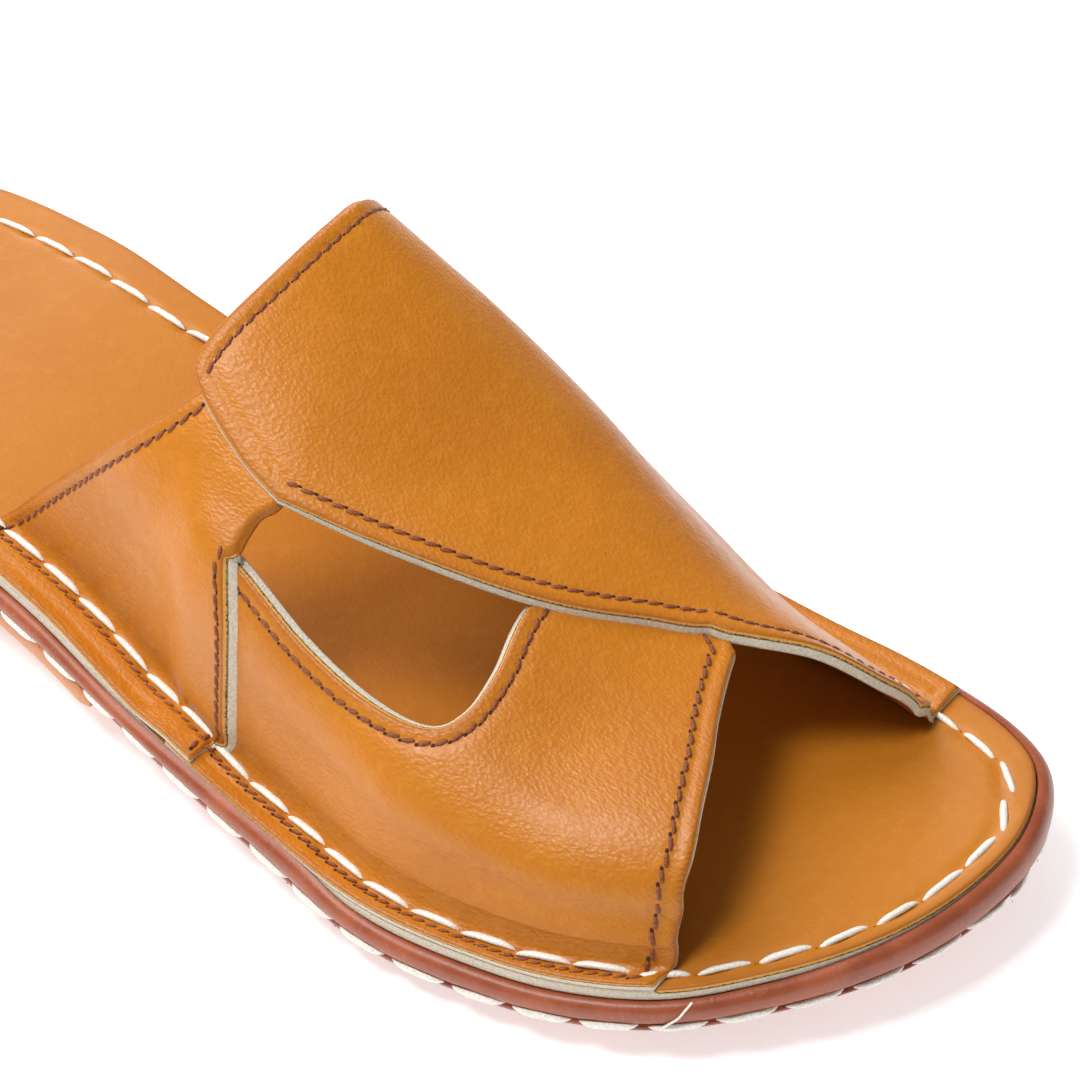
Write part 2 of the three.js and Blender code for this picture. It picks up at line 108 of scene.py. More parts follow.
# White stitches in the sole's groove and round the footbed, where their distance from its edge
# changes: along, lateral, medial.
welt = {
    "pitch": 10.0, "length": 9.45, "thickness": 1.4, "toeInset": 3.8, "heelInset": 8.3,
    "insetRows": [(0.02, 3.5, 4.7), (0.06, 3.3, 6.2), (0.12, 3.2, 6.6), (0.2, 3.2, 6.8), (0.27, 3.6, 7.0),
                  (0.33, 4.5, 7.2), (0.42, 5.5, 7.5), (0.5, 6.8, 7.8), (0.65, 7.6, 8.2), (0.85, 8.2, 8.3)],
    "groovePitch": 11.3, "grooveLength": 9.8, "grooveThickness": 1.6, "grooveStart": 5.7,
    "trough": 0.3, "troughWidth": 1.15, "hole": 0.55, "holeSharpness": 3,
}
straps = {
    "insets": (0.25, 0.6, 1.1, 1.7, 2.3, 2.9, 3.5), "spacing": 1.35, "rimSpacing": 0.9, "rimWidth": 19,
    "edgeSpacing": 0.8, "foldRadius": 1.1, "cutRadius": 0.3, "foldSwell": 0.5, "cutSwell": 0.08,
    "underRelief": 0.9, "seamTrough": 0.28, "seamWidth": 0.7, "lapLift": 0.9, "puff": 0.35,
    "puffAt": 3.8, "puffWidth": 1.9, "crease": 3.4, "behindStitch": 1.0, "rimInset": -0.22, "sit": 0.05,
    "lateralFlange": (0.107, 0.68), "medialFlange": (0.106, 0.673), "rearFrom": 0.442,
}


def ease(t):
    t = np.clip(t, 0, 1)
    return t * t * (3 - 2 * t)


def mix(a, b, t):
    return a + (b - a) * t


def unit(vectors):
    return vectors / np.maximum(np.linalg.norm(vectors, axis=-1, keepdims=True), 1e-12)


def smoothThrough(rows, at):
    rows, at = np.asarray(rows, float), np.asarray(at, float)
    end = len(rows) - 1
    i = np.clip(np.searchsorted(rows[:, 0], at, side="left") - 1, 0, end - 1)
    after, before = np.minimum(np.arange(end + 1) + 1, end), np.maximum(np.arange(end + 1) - 1, 0)
    slopes = (rows[after, 1] - rows[before, 1]) / (rows[after, 0] - rows[before, 0])
    width = rows[i + 1, 0] - rows[i, 0]
    t, rise = (at - rows[i, 0]) / width, rows[i + 1, 1] - rows[i, 1]
    leave, arrive = slopes[i] * width, slopes[i + 1] * width
    cubic = leave + arrive - 2 * rise
    return rows[i, 1] + t * (leave + t * (rise - leave - cubic + t * cubic))


def footbedZ(along):
    toe = sandal["toeSpring"] * np.maximum(0, (sandal["flatFrom"] - along) / sandal["flatFrom"]) ** 2
    heel = sandal["heelRise"] * ease((along - sandal["flatTo"]) / (sandal["seatFrom"] - sandal["flatTo"]))
    return sandal["outsoleThick"] + sandal["insoleThick"] + toe + heel


def underInsole(along):
    return footbedZ(along) - sandal["insoleThick"] - sandal["gap"]


def alongOf(y):
    return y / sandal["footbedLength"] + 0.5


def yOf(along):
    return (along - 0.5) * sandal["footbedLength"]


def turnOf(along):
    return np.arccos(1 - 2 * np.clip(along, 0, 1))


def roundTheShoe(rows, toeValue, heelValue):
    turns = [(-turnOf(row[0]), row[2]) for row in reversed(rows)]
    turns += [(0, toeValue)] + [(turnOf(row[0]), row[1]) for row in rows] + [(math.pi, heelValue)]
    before = [(turn - 2 * math.pi, value) for turn, value in turns[-3:]]
    after = [(turn + 2 * math.pi, value) for turn, value in turns[:3]]
    return np.array(before + turns + after, float)


outlineTurns = roundTheShoe(outlineRows, toeValue=0.115, heelValue=0)
weltTurns = roundTheShoe(welt["insetRows"], welt["toeInset"], welt["heelInset"])


def around(rows, turn):
    return smoothThrough(rows, np.where(turn > math.pi, turn - 2 * math.pi, turn))


def turnAt(lateral, along):
    return np.where(lateral, turnOf(along), 2 * math.pi - turnOf(along))


def outlinePoint(turn):
    return sandal["ballWidth"] * around(outlineTurns, turn), yOf((1 - np.cos(turn)) / 2)


def outlineWay(turn, step=0.01):
    (ax, ay), (bx, by) = outlinePoint(turn + step), outlinePoint(turn - step)
    return ax - bx, ay - by


def outlineMoved(turn, out):
    way = unit(np.stack(outlineWay(turn), -1))
    x, y = outlinePoint(turn)
    return x - way[..., 1] * out, y + way[..., 0] * out


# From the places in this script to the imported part's, in metres
lowInsole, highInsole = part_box("insole")
solidX, solidY = outlinePoint(np.arange(sandal["outlinePoints"]) / sandal["outlinePoints"] * 2 * math.pi)
shift = np.array([(lowInsole.x + highInsole.x) / 2 - (solidX.min() + solidX.max()) / 2000,
                  (lowInsole.y + highInsole.y) / 2 - (solidY.min() + solidY.max()) / 2000, 0])


def flangeFrom(inset):
    # Width of the flange where the welt stitches lie this far from the edge
    return np.minimum(inset + straps["behindStitch"], sandal["flangeWidth"])


def lastPoint(girth, along):
    lateral = girth < 0.5
    outward = np.where(lateral, -1.0, 1.0)
    turn = turnAt(lateral, along)
    wayX, wayY = outlineWay(turn)
    slant = np.hypot(1, wayX / wayY)
    edge = outlinePoint(turn)[0]

    def column(n):
        return smoothThrough([(row[0], row[n]) for row in lastRows], along)

    radius = straps["crease"]
    stitch = edge - outward * flangeFrom(around(weltTurns, turn)) * slant
    foot = stitch - outward * radius
    solidFoot = edge - outward * (sandal["flangeWidth"] * slant + sandal["creaseRadius"])
    rim = edge - outward * straps["rimInset"] * slant
    floor = footbedZ(along) + straps["sit"]
    crest, crestZ = sandal["ballWidth"] * column(1), floor + sandal["instepHeight"] * column(2)
    wide = solidFoot + outward * sandal["ballWidth"] * np.where(lateral, column(3), column(4))
    widest = np.where(lateral, sandal["lateralWidest"], column(5))
    power = 2 / np.where(lateral, sandal["lateralFullness"], column(6))
    wideZ = mix(floor + radius, crestZ, widest)
    half = np.where(lateral, girth, 1 - girth)
    stitchAt, footAt, wideAt = sandal["stitchAt"], sandal["footAt"], sandal["wideAt"]
    bend = np.clip((half - stitchAt) / (footAt - stitchAt), 0, 1) * math.pi / 2
    up = np.clip((half - footAt) / (wideAt - footAt), 0, 1)
    over = np.clip((half - wideAt) / (0.5 - wideAt), 0, 1) * math.pi / 2
    cosOver, sinOver = np.maximum(np.cos(over), 0) ** power, np.maximum(np.sin(over), 0) ** power
    parts = [half <= stitchAt, half <= footAt, half <= wideAt]
    x = np.select(parts, [mix(rim, stitch, half / stitchAt),
                          stitch + np.sign(foot - stitch) * radius * np.sin(bend),
                          mix(foot, wide, ease(up))], crest - (crest - wide) * cosOver)
    z = np.select(parts, [floor, floor + radius * (1 - np.cos(bend)), mix(floor + radius, wideZ, up)],
                  wideZ + (crestZ - wideZ) * sinOver)
    return np.stack([x, yOf(along), z], -1)


def lastNormal(girth, along, stepGirth=0.03, stepAlong=0.008):
    across = lastPoint(girth + stepGirth, along) - lastPoint(girth - stepGirth, along)
    back = lastPoint(girth, along + stepAlong) - lastPoint(girth, along - stepAlong)
    return unit(np.cross(across, back))


def shares(flat):
    return flat[:, 0] / sandal["flatGirth"], flat[:, 1] / sandal["footbedLength"]


def onLast(flat):
    return lastPoint(*shares(flat)), lastNormal(*shares(flat))


def onFootbed(flat, step=0.002):
    along = alongOf(flat[:, 1])
    slope = (footbedZ(along + step) - footbedZ(along - step)) / (2 * step * sandal["footbedLength"])
    points = np.stack([flat[:, 0], flat[:, 1], footbedZ(along) - sandal["insoleThick"]], -1)
    return points, unit(np.stack([0 * slope, -slope, 0 * slope + 1], -1))


# Materials

def colourOf(hexValue):
    parts = [int(hexValue[i:i + 2], 16) / 255 for i in (1, 3, 5)]
    return tuple(c / 12.92 if c <= 0.04045 else ((c + 0.055) / 1.055) ** 2.4 for c in parts) + (1.0,)


def plug(node, inputs):
    # Gives each input another node's output or a plain value
    for name, value in inputs.items():
        if isinstance(value, bpy.types.NodeSocket):
            node.id_data.links.new(value, node.inputs[name])
        else:
            node.inputs[name].default_value = value
    return node


def addNode(tree, kind, inputs=None, **settings):
    node = tree.nodes.new(kind)
    for name, value in settings.items():
        setattr(node, name, value)
    return plug(node, inputs or {})


def made(tree, kind, inputs=None, output=0, **settings):
    return addNode(tree, kind, inputs, **settings).outputs[output]


def startMaterial(name, shader):
    material = bpy.data.materials.new(name)
    material.use_nodes = True
    tree = material.node_tree
    tree.nodes.clear()
    surface = addNode(tree, "ShaderNodeBsdfPrincipled", shader)
    addNode(tree, "ShaderNodeOutputMaterial", {"Surface": surface.outputs[0]})
    metres = made(tree, "ShaderNodeTexCoord", output="Object")
    place = made(tree, "ShaderNodeVectorMath", {0: metres, "Scale": 1000.0}, operation="SCALE")
    return material, tree, surface, place


def patternOf(tree, place, size, detail=3.0, roughness=0.5):
    return made(tree, "ShaderNodeTexNoise", {"Vector": place, "Scale": 1 / size, "Detail": detail,
                                             "Roughness": roughness})


def spread(tree, value, low, high, toLow=0.0, toHigh=1.0):
    return made(tree, "ShaderNodeMapRange", {0: value, 1: low, 2: high, 3: toLow, 4: toHigh})


def blended(tree, share, a, b):
    # Each side is a colour's hex value or another node's output
    a, b = (colourOf(side) if isinstance(side, str) else side for side in (a, b))
    return made(tree, "ShaderNodeMix", {0: share, 6: a, 7: b}, output=2, data_type="RGBA")


def unevenValue(tree, name, fray, by):
    # A mesh's own value with the fray of the leather's fibres added to it
    value = made(tree, "ShaderNodeAttribute", output="Fac", attribute_name=name)
    return made(tree, "ShaderNodeMath", {0: value, 1: spread(tree, fray, 0.3, 0.7, -by, by)}, operation="ADD")


def bumped(tree, surface, *heights):
    below = {}
    for height, distance in heights:
        below = {"Normal": made(tree, "ShaderNodeBump", {
            "Height": height, "Distance": distance, "Strength": 1.0, **below})}
    plug(surface, below)


leatherLook = {
    "tan": "#C27411", "deep": "#B86C0D", "pale": "#CD8524", "burnished": "#8A430A", "wornEdge": 1.6,
    "grain": 0.62, "wrinkle": 1.6, "cloud": 34.0, "fleck": 2.6, "warp": 0.5, "relief": 0.00011,
    "stretch": (1.0, 0.62, 1.0), "slant": (0.2, 0.3, 0.7),
}


def makeTanLeather(name, tan, deep, pale, gloss, relief):
    # Pigment-finished cowhide with a fine boarded grain: satin, the grain shows in the highlights
    material, tree, surface, place = startMaterial(name, {
        "IOR": 1.5, "Coat Weight": 0.12, "Coat Roughness": 0.28, "Specular IOR Level": 0.34})
    cloud = patternOf(tree, place, leatherLook["cloud"], 4)
    fleck = patternOf(tree, place, leatherLook["fleck"], 4)
    tone = blended(tree, spread(tree, cloud, 0.34, 0.62), deep, tan)
    tone = blended(tree, spread(tree, fleck, 0.5, 0.8, 0, 0.45), tone, pale)
    fromEdge = made(tree, "ShaderNodeAttribute", output="Fac", attribute_name="edgeDistance")
    tone = blended(tree, spread(tree, fromEdge, 0.0, leatherLook["wornEdge"], 0.4, 0.0), tone,
                   leatherLook["burnished"])
    stretched = made(tree, "ShaderNodeMapping", {"Vector": place, "Scale": leatherLook["stretch"],
                                                 "Rotation": leatherLook["slant"]})
    warp = made(tree, "ShaderNodeTexNoise", {"Vector": place, "Scale": leatherLook["warp"]}, output="Color")
    bent = made(tree, "ShaderNodeVectorMath", {0: stretched, 1: warp}, operation="ADD")
    cells = made(tree, "ShaderNodeTexVoronoi", {"Vector": bent, "Scale": 1 / leatherLook["grain"]},
                 feature="F1")
    wrinkle = patternOf(tree, bent, leatherLook["wrinkle"], 3, 0.55)
    plug(surface, {"Base Color": tone,
                   "Roughness": spread(tree, wrinkle, 0.3, 0.7, gloss - 0.05, gloss + 0.09)})
    bumped(tree, surface, (wrinkle, relief * 0.4), (cells, relief))
    return material


strapLeather = makeTanLeather("satin-finished tan cowhide", leatherLook["tan"], leatherLook["deep"],
                              leatherLook["pale"], 0.4, leatherLook["relief"])
liningLeather = makeTanLeather("tan lining leather", "#B0651A", "#98530F", "#BC7428", 0.6, 0.00005)
footbedLeather = makeTanLeather("smooth tan footbed leather", "#BF751B", "#B66C14", "#CA8129", 0.46, 0.00004)


def makeCutEdge():
    # Raw cut edge of the straps: the tan film on top, a dark olive bonding line and cream suede
    material, tree, surface, place = startMaterial("raw cut leather edge", {"Roughness": 0.85})
    fray = patternOf(tree, place, 0.55, 3, 0.6)
    level = unevenValue(tree, "cutLevel", fray, 0.05)
    fibres = blended(tree, fray, "#B8AA90", "#EDE4D2")
    olive = blended(tree, spread(tree, fray, 0.44, 0.56), "#4A3C18", "#8E7E4C")
    bonded = blended(tree, spread(tree, level, 0.66, 0.7), fibres, olive)
    plug(surface, {"Base Color": blended(tree, spread(tree, level, 0.8, 0.83), bonded, "#D99A4A")})
    bumped(tree, surface, (fray, 0.0003))
    return material


cutEdge = makeCutEdge()


def makeRubber(name, body, dark, pore, gloss):
    # Moulded crepe-coloured rubber: smooth and waxy, paler in the mould's pores
    material, tree, surface, place = startMaterial(name, {"IOR": 1.52, "Coat Weight": 0.1,
                                                          "Coat Roughness": 0.4})
    cloud = patternOf(tree, place, 9.0, 5)
    speck = patternOf(tree, place, 0.7, 3)
    tone = blended(tree, spread(tree, cloud, 0.35, 0.65), dark, body)
    plug(surface, {"Base Color": blended(tree, spread(tree, speck, 0.6, 0.75, 0, 0.25), tone, pore),
                   "Roughness": spread(tree, cloud, 0.3, 0.7, gloss, gloss + 0.12)})
    bumped(tree, surface, (speck, 0.00006), (patternOf(tree, place, 3.0, 3), 0.00012))
    return material


randRubber = makeRubber("reddish brown sole rubber", "#A4532F", "#8E4222", "#D08A66", 0.36)


def makeWedgeCover():
    # Pinkish tan leather drawn over the wedge, its raw edge showing cream under the rubber strip
    material, tree, surface, place = startMaterial("wedge cover leather", {"Coat Weight": 0.1,
                                                                           "Coat Roughness": 0.4})
    fray = patternOf(tree, place, 0.6, 3)
    down = unevenValue(tree, "sideDown", fray, 0.012)
    skin = blended(tree, patternOf(tree, place, 14.0, 4), "#B87448", "#CB8A58")
    fibres = blended(tree, fray, "#CBBB98", "#F0E6CF")
    olive = blended(tree, spread(tree, down, 0.27, 0.28), fibres, "#54451F")
    plug(surface, {"Base Color": blended(tree, spread(tree, down, 0.3, 0.31), olive, skin),
                   "Roughness": spread(tree, fray, 0.3, 0.7, 0.45, 0.6)})
    bumped(tree, surface, (patternOf(tree, place, 1.5, 3), 0.00012))
    return material


wedgeLeather = makeWedgeCover()


def makeThread(name, light, dark, roughness, strand):
    # Waxed or bonded thread, or the painted shade in a needle's or awl's hole: fine fibres with a soft sheen
    material, tree, surface, place = startMaterial(name, {"Roughness": roughness, "Sheen Weight": 0.25,
                                                          "Sheen Roughness": 0.4})
    fibre = patternOf(tree, place, strand, 3, 0.6)
    plug(surface, {"Base Color": blended(tree, spread(tree, fibre, 0.35, 0.65), dark, light)})
    bumped(tree, surface, (fibre, 0.00004))
    return material


whiteCord = makeThread("white waxed cord", "#FBF8F0", "#DDD5C4", 0.5, 0.35)
brownThread = makeThread("brown bonded thread", "#A8591A", "#541C04", 0.6, 0.2)
# Colours of the dark dots at the stitches' ends: painted shade in the needle and awl holes
needleHoleShade = makeThread("needle hole shade", "#4A2209", "#2A1003", 0.9, 0.3)
awlHoleShade = makeThread("awl hole shade", "#A8661C", "#8A4E12", 0.9, 0.3)

print("materials made")


# Meshes

def pieceFrom(name, points, faces, materials, faceMaterials=None, attributes=None, smooth=True):
    mesh = bpy.data.meshes.new(name)
    mesh.from_pydata((points * 0.001 + shift).tolist(), [], faces)
    for material in materials:
        mesh.materials.append(material)
    if faceMaterials is not None:
        mesh.polygons.foreach_set("material_index", np.asarray(faceMaterials, np.int32))
    for key, values in (attributes or {}).items():
        addValues(mesh, key, values)
    mesh.polygons.foreach_set("use_smooth", np.full(len(mesh.polygons), smooth))
    mesh.validate()
    mesh.update()
    return addObject(name, mesh)


def addValues(mesh, key, values):
    mesh.attributes.new(key, "FLOAT", "POINT").data.foreach_set("value", np.asarray(values, np.float32))


def placesOf(mesh):
    # Points of a finished mesh, in millimetres again
    places = np.zeros(len(mesh.vertices) * 3, np.float32)
    mesh.vertices.foreach_get("co", places)
    return (places.reshape(-1, 3) - shift) * 1000


def plainMesh(piece, name):
    graph = bpy.context.evaluated_depsgraph_get()
    mesh = bpy.data.meshes.new_from_object(piece.evaluated_get(graph))
    mesh.name = name
    piece.modifiers.clear()
    piece.data = mesh
    return mesh


def finishPiece(piece, slotName, *nodes):
    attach(piece, "root")
    if nodes:
        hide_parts(*nodes)
    return piece


def reachOf(lengths):
    return np.concatenate([[0], np.cumsum(lengths)])


def resampled(flat, points, spacing, closed=False):
    # The flat line again at places an even spacing apart, measured on its points in space
    if closed:
        flat, points = (np.concatenate([run, run[:1]]) for run in (flat, points))
    reach = reachOf(np.linalg.norm(np.diff(points, axis=0), axis=1))
    at = np.linspace(0, reach[-1], max(2, int(round(reach[-1] / spacing))) + 1)
    return np.stack([np.interp(at[:-1], reach, flat[:, k]) for k in (0, 1)], -1)


def splineThrough(points, steps=24):
    points = np.asarray(points, float)
    run = []
    for i in range(len(points) - 1):
        a, b, c, d = (points[max(0, min(len(points) - 1, i + k))] for k in (-1, 0, 1, 2))
        t = np.linspace(0, 1, steps, endpoint=False)[:, None]
        leave, arrive = (c - a) / 2, (d - b) / 2
        run.append((2 * b - 2 * c + leave + arrive) * t ** 3 + (3 * c - 3 * b - 2 * leave - arrive) * t ** 2
                   + leave * t + b)
    return np.concatenate(run + [points[-1:]])


def patternEdge(pattern, mapping, spacing):
    points = np.array([p[:2] for p in pattern]) * flatScale
    corners = [i for i, p in enumerate(pattern) if len(p) > 2]
    edge = []
    for start, end in zip(corners, corners[1:] + [corners[0] + len(pattern)]):
        fine = splineThrough(points[np.arange(start, end + 1) % len(pattern)])
        edge.append(resampled(fine, mapping(fine)[0], spacing))
    edge = np.concatenate(edge)
    area = np.sum(edge[:, 0] * np.roll(edge[:, 1], -1) - np.roll(edge[:, 0], -1) * edge[:, 1])
    return edge if area > 0 else edge[::-1]


def insetWay(flat, cover, mapping, step=0.4):
    # Flat direction that leads one millimetre inwards on the surface, square to the edge
    du = (mapping(flat + [step, 0])[0] - mapping(flat - [step, 0])[0]) / (2 * step)
    dv = (mapping(flat + [0, step])[0] - mapping(flat - [0, step])[0]) / (2 * step)
    uu, uv, vv = (du * du).sum(1), (du * dv).sum(1), (dv * dv).sum(1)
    det = np.maximum(uu * vv - uv * uv, 1e-6)
    way = np.stack([(vv * cover[:, 0] - uv * cover[:, 1]) / det,
                    (uu * cover[:, 1] - uv * cover[:, 0]) / det], -1)
    return way / np.sqrt(np.maximum((way * cover).sum(1), 1e-9))[:, None]


def insetLine(edge, mapping, distance, longest=0.8):
    # The closed edge moved inwards on the surface, in steps no longer than the longest
    along = np.roll(edge, -2, 0) - np.roll(edge, 2, 0)
    cover = unit(np.stack([-along[:, 1], along[:, 0]], -1))
    flat, steps = edge.copy(), max(1, int(math.ceil(distance / longest)))
    for _ in range(steps):
        flat = flat + insetWay(flat, cover, mapping) * (distance / steps)
    return flat


def insidePolygon(points, polygon):
    x, y = points[:, 0:1], points[:, 1:2]
    ax, ay = polygon[:, 0], polygon[:, 1]
    bx, by = np.roll(ax, -1), np.roll(ay, -1)
    crossing = ((ay > y) != (by > y)) & (x < (bx - ax) * (y - ay) / (by - ay + 1e-12) + ax)
    return crossing.sum(1) % 2 == 1


def nearestEdge(points, edgePoints):
    tree = kdtree.KDTree(len(edgePoints))
    for i, point in enumerate(edgePoints):
        tree.insert(point, i)
    tree.balance()
    found = [tree.find(point) for point in points]
    return np.array([f[2] for f in found]), np.array([f[1] for f in found])


sheet = {  # how leather is divided: along its fine edge, near its insets and down its edge
    "edgeStep": 0.2, "insetShare": 0.93, "rowShare": 0.87, "clearShare": 0.45,
    "levels": (0.93, 0.86, 0.78, 0.7, 0.55, 0.35, 0.15),
}


def sheetPiece(name, edge, mapping, settings, thickOf, liftOf, reliefOf, foldedAt, bevelAt, materials):
    # A piece of leather: its top and underside, and between them an edge in several levels
    edgePoints = mapping(edge)[0]
    fineEdge = resampled(edge, edgePoints, sheet["edgeStep"], closed=True)
    finePoints = mapping(fineEdge)[0]
    folded = foldedAt(fineEdge)
    rows = []
    for inset in settings["insets"]:
        row = insetLine(edge, mapping, inset)
        row = row[insidePolygon(row, edge)]
        gaps, _ = nearestEdge(mapping(row)[0], finePoints)
        rows.append(row[gaps > inset * sheet["insetShare"]])
    low, high = edge.min(0), edge.max(0)
    inner = []
    for spacing, wanted in settings["grids"]:
        x = np.arange(low[0], high[0], spacing)
        y = np.arange(low[1], high[1], spacing * sheet["rowShare"])
        grid = np.stack(np.meshgrid(x, y), -1)
        grid[1::2, :, 0] += spacing / 2
        grid = grid.reshape(-1, 2)
        grid = grid[wanted(grid) & insidePolygon(grid, edge)]
        gaps, _ = nearestEdge(mapping(grid)[0], finePoints)
        inner.append(grid[gaps > settings["insets"][-1] + sheet["clearShare"] * spacing])
    flat = np.concatenate([edge, *rows, *inner])
    corner = [Vector(p) for p in flat.tolist()]
    out = geometry.delaunay_2d_cdt(corner, [], [list(range(len(edge)))], 1, 1e-4)
    flat = np.array([tuple(v) for v in out[0]])
    triangles = [list(f) for f in out[2]]
    rimOf = {}
    for i, sources in enumerate(out[3]):
        for source in sources:
            if source < len(edge):
                rimOf[source] = i
    rim = np.array([rimOf[i] for i in range(len(edge))])
    base, normal = mapping(flat)
    gaps, nearest = nearestEdge(base, finePoints)
    gaps[rim] = 0
    roll = np.where(folded[nearest], settings["foldRadius"], settings["cutRadius"])
    drop = roll * (1 - np.sqrt(np.clip(1 - np.clip(1 - gaps / roll, 0, 1) ** 2, 0, 1)))
    thick, lift, relief = thickOf(flat), liftOf(flat), reliefOf(flat, gaps)
    topHeight = (lift + 1) * thick + relief - drop
    lowHeight = lift * thick + np.maximum(relief, 0) * settings["underRelief"]
    top, under = base + normal * topHeight[:, None], base + normal * lowHeight[:, None]
    outward = -unit(mapping(insetLine(edge, mapping, 0.5))[0] - edgePoints)
    bevel = bevelAt(edge)
    under[rim] += outward * bevel[:, None]
    rimFolded = foldedAt(edge)
    rings, levels = [rim], []
    points, count = [top, under], 2 * len(flat)
    swell = np.where(rimFolded, settings["foldSwell"], settings["cutSwell"])
    for level in sheet["levels"]:
        height = mix(lowHeight[rim], topHeight[rim], level)
        bulge = swell * math.sqrt(1 - (2 * level - 1) ** 2)
        out = bulge + bevel * (1 - level)
        points.append(base[rim] + normal[rim] * height[:, None] + outward * out[:, None])
        rings.append(np.arange(count, count + len(rim)))
        levels.append(np.full(len(rim), level))
        count += len(rim)
    rings.append(rim + len(flat))
    faces = triangles + [[c + len(flat), b + len(flat), a + len(flat)] for a, b, c in triangles]
    faceMaterials = [0] * len(triangles) + [1] * len(triangles)
    turned = np.roll(np.arange(len(rim)), -1)
    for upper, lower in zip(rings[:-1], rings[1:]):
        faces += np.stack([upper, lower, lower[turned], upper[turned]], -1).tolist()
        faceMaterials += np.where(rimFolded, 0, 2).tolist()
    cutLevel = np.concatenate([np.ones(len(flat)), np.zeros(len(flat)), *levels])
    edgeDistance = np.concatenate([gaps, gaps, np.zeros(len(rim) * len(levels))])
    return pieceFrom(name, np.concatenate(points), faces, materials, faceMaterials,
                     {"cutLevel": cutLevel, "edgeDistance": edgeDistance})


def evenPitch(whole, wanted):
    return whole / int(round(whole / wanted))


loopTurns = np.linspace(0, 2 * math.pi, 4001)
loopX, loopY = outlineMoved(loopTurns, -around(weltTurns, loopTurns))
loopReach = reachOf(np.hypot(np.diff(loopX), np.diff(loopY)))
weltPitch = evenPitch(loopReach[-1], welt["pitch"])


def weltDip(turn, inside):
    # Trough under the welt stitches, deepest at the awl holes between them; inside is the
    # distance from the stitch line towards the foot
    phase = np.interp(turn % (2 * math.pi), loopTurns, loopReach) / weltPitch - 0.5
    atHole = (0.5 + 0.5 * np.cos(2 * math.pi * phase)) ** welt["holeSharpness"]
    return -(welt["trough"] + welt["hole"] * atHole) * np.exp(-(inside / welt["troughWidth"]) ** 2)


def nearRim(flat):
    return np.minimum(flat[:, 0], sandal["flatGirth"] - flat[:, 0]) < straps["rimWidth"]


strapSettings = {**straps, "grids": [(straps["rimSpacing"], nearRim),
                                     (straps["spacing"], lambda flat: ~nearRim(flat))]}


def leatherAt(flat):
    girth, _ = shares(flat)
    share = (np.minimum(girth, 1 - girth) - sandal["stitchAt"]) / (sandal["footAt"] - sandal["stitchAt"])
    return mix(sandal["flangeThick"], sandal["leatherThick"], ease(share))


def flangeRelief(flat, upWidth=8):
    # The welt's trough with a soft swelling beside it, and on up the side over the width given
    girth, along = shares(flat)
    turn = turnAt(girth < 0.5, along)
    inset = around(weltTurns, turn)
    flange = flangeFrom(inset)
    share = np.minimum(girth, 1 - girth) / sandal["stitchAt"]
    up = flange + (share - 1) * upWidth
    inside = np.where(share < 1, mix(straps["rimInset"], flange, share), up) - inset
    puff = straps["puff"] * np.exp(-((inside - straps["puffAt"]) / straps["puffWidth"]) ** 2)
    return weltDip(turn, inside) + puff


def creases(flat, lines, ridge=0.4, ridgeAt=1.9):
    # Soft troughs with a low ridge each side: from and to as (girth, along), half width, depth
    total = np.zeros(len(flat))
    for start, end, width, depth in lines:
        a, b = np.array(start) * flatScale, np.array(end) * flatScale
        t = np.clip(((flat - a) @ (b - a)) / ((b - a) @ (b - a)), 0, 1)
        away = np.linalg.norm(flat - (a + t[:, None] * (b - a)), axis=1) / width
        fade = np.sqrt(np.clip(4 * t * (1 - t), 0, 1))
        total += depth * fade * (ridge * np.exp(-(away - ridgeAt) ** 2) - np.exp(-away ** 2))
    return total


bandPattern = [
    (0.325, 0.431, 1), (0.375, 0.359), (0.43, 0.283), (0.472, 0.236), (0.515, 0.192), (0.62, 0.147),
    (0.7, 0.122), (0.8, 0.109), (0.92, 0.105), (1, 0.106, 1), (1, 0.673, 1), (0.94, 0.655), (0.84, 0.592),
    (0.74, 0.541), (0.64, 0.52), (0.54, 0.511), (0.44, 0.5085), (0.36, 0.514), (0.337, 0.512),
    (0.328, 0.496), (0.322, 0.46),
]
rearStrapPattern = [
    (0, 0.442, 1), (0.043, 0.442, 1), (0.053, 0.432, 1), (0.075, 0.4292), (0.13, 0.428), (0.2, 0.4275),
    (0.256, 0.443, 1), (0.263, 0.439), (0.28, 0.4394), (0.3, 0.4378), (0.32, 0.431), (0.35, 0.431),
    (0.385, 0.44), (0.4, 0.462), (0.385, 0.486), (0.34, 0.5), (0.27, 0.526), (0.175, 0.576),
    (0.065, 0.65), (0, 0.68, 1),
]
vampPattern = [
    (0, 0.107, 1), (0.045, 0.108), (0.07, 0.1115), (0.13, 0.1143), (0.22, 0.1168), (0.28, 0.1196),
    (0.335, 0.1278), (0.4, 0.1431), (0.45, 0.1616), (0.52, 0.1895), (0.61, 0.2248, 1), (0.585, 0.264, 1),
    (0.49, 0.282), (0.425, 0.285), (0.37, 0.274), (0.325, 0.273), (0.29, 0.287), (0.267, 0.328),
    (0.256, 0.378), (0.255, 0.43), (0.25, 0.465, 1),
    (0, 0.465, 1),
]
bandCreases = [((0.38, 0.44), (0.5, 0.3), 9, 0.5), ((0.45, 0.47), (0.6, 0.42), 11, 0.45),
               ((0.72, 0.5), (0.68, 0.2), 10, 0.5), ((0.85, 0.45), (0.83, 0.2), 8, 0.4)]
rearCreases = [((0.285, 0.505), (0.215, 0.47), 5.5, 0.4), ((0.262, 0.522), (0.18, 0.5), 4.5, 0.22),
               ((0.24, 0.53), (0.15, 0.52), 6.5, 0.25)]
vampCreases = [((0.1, 0.38), (0.2, 0.3), 9, 0.45), ((0.09, 0.3), (0.17, 0.2), 8, 0.4),
               ((0.3, 0.22), (0.42, 0.22), 9, 0.35)]


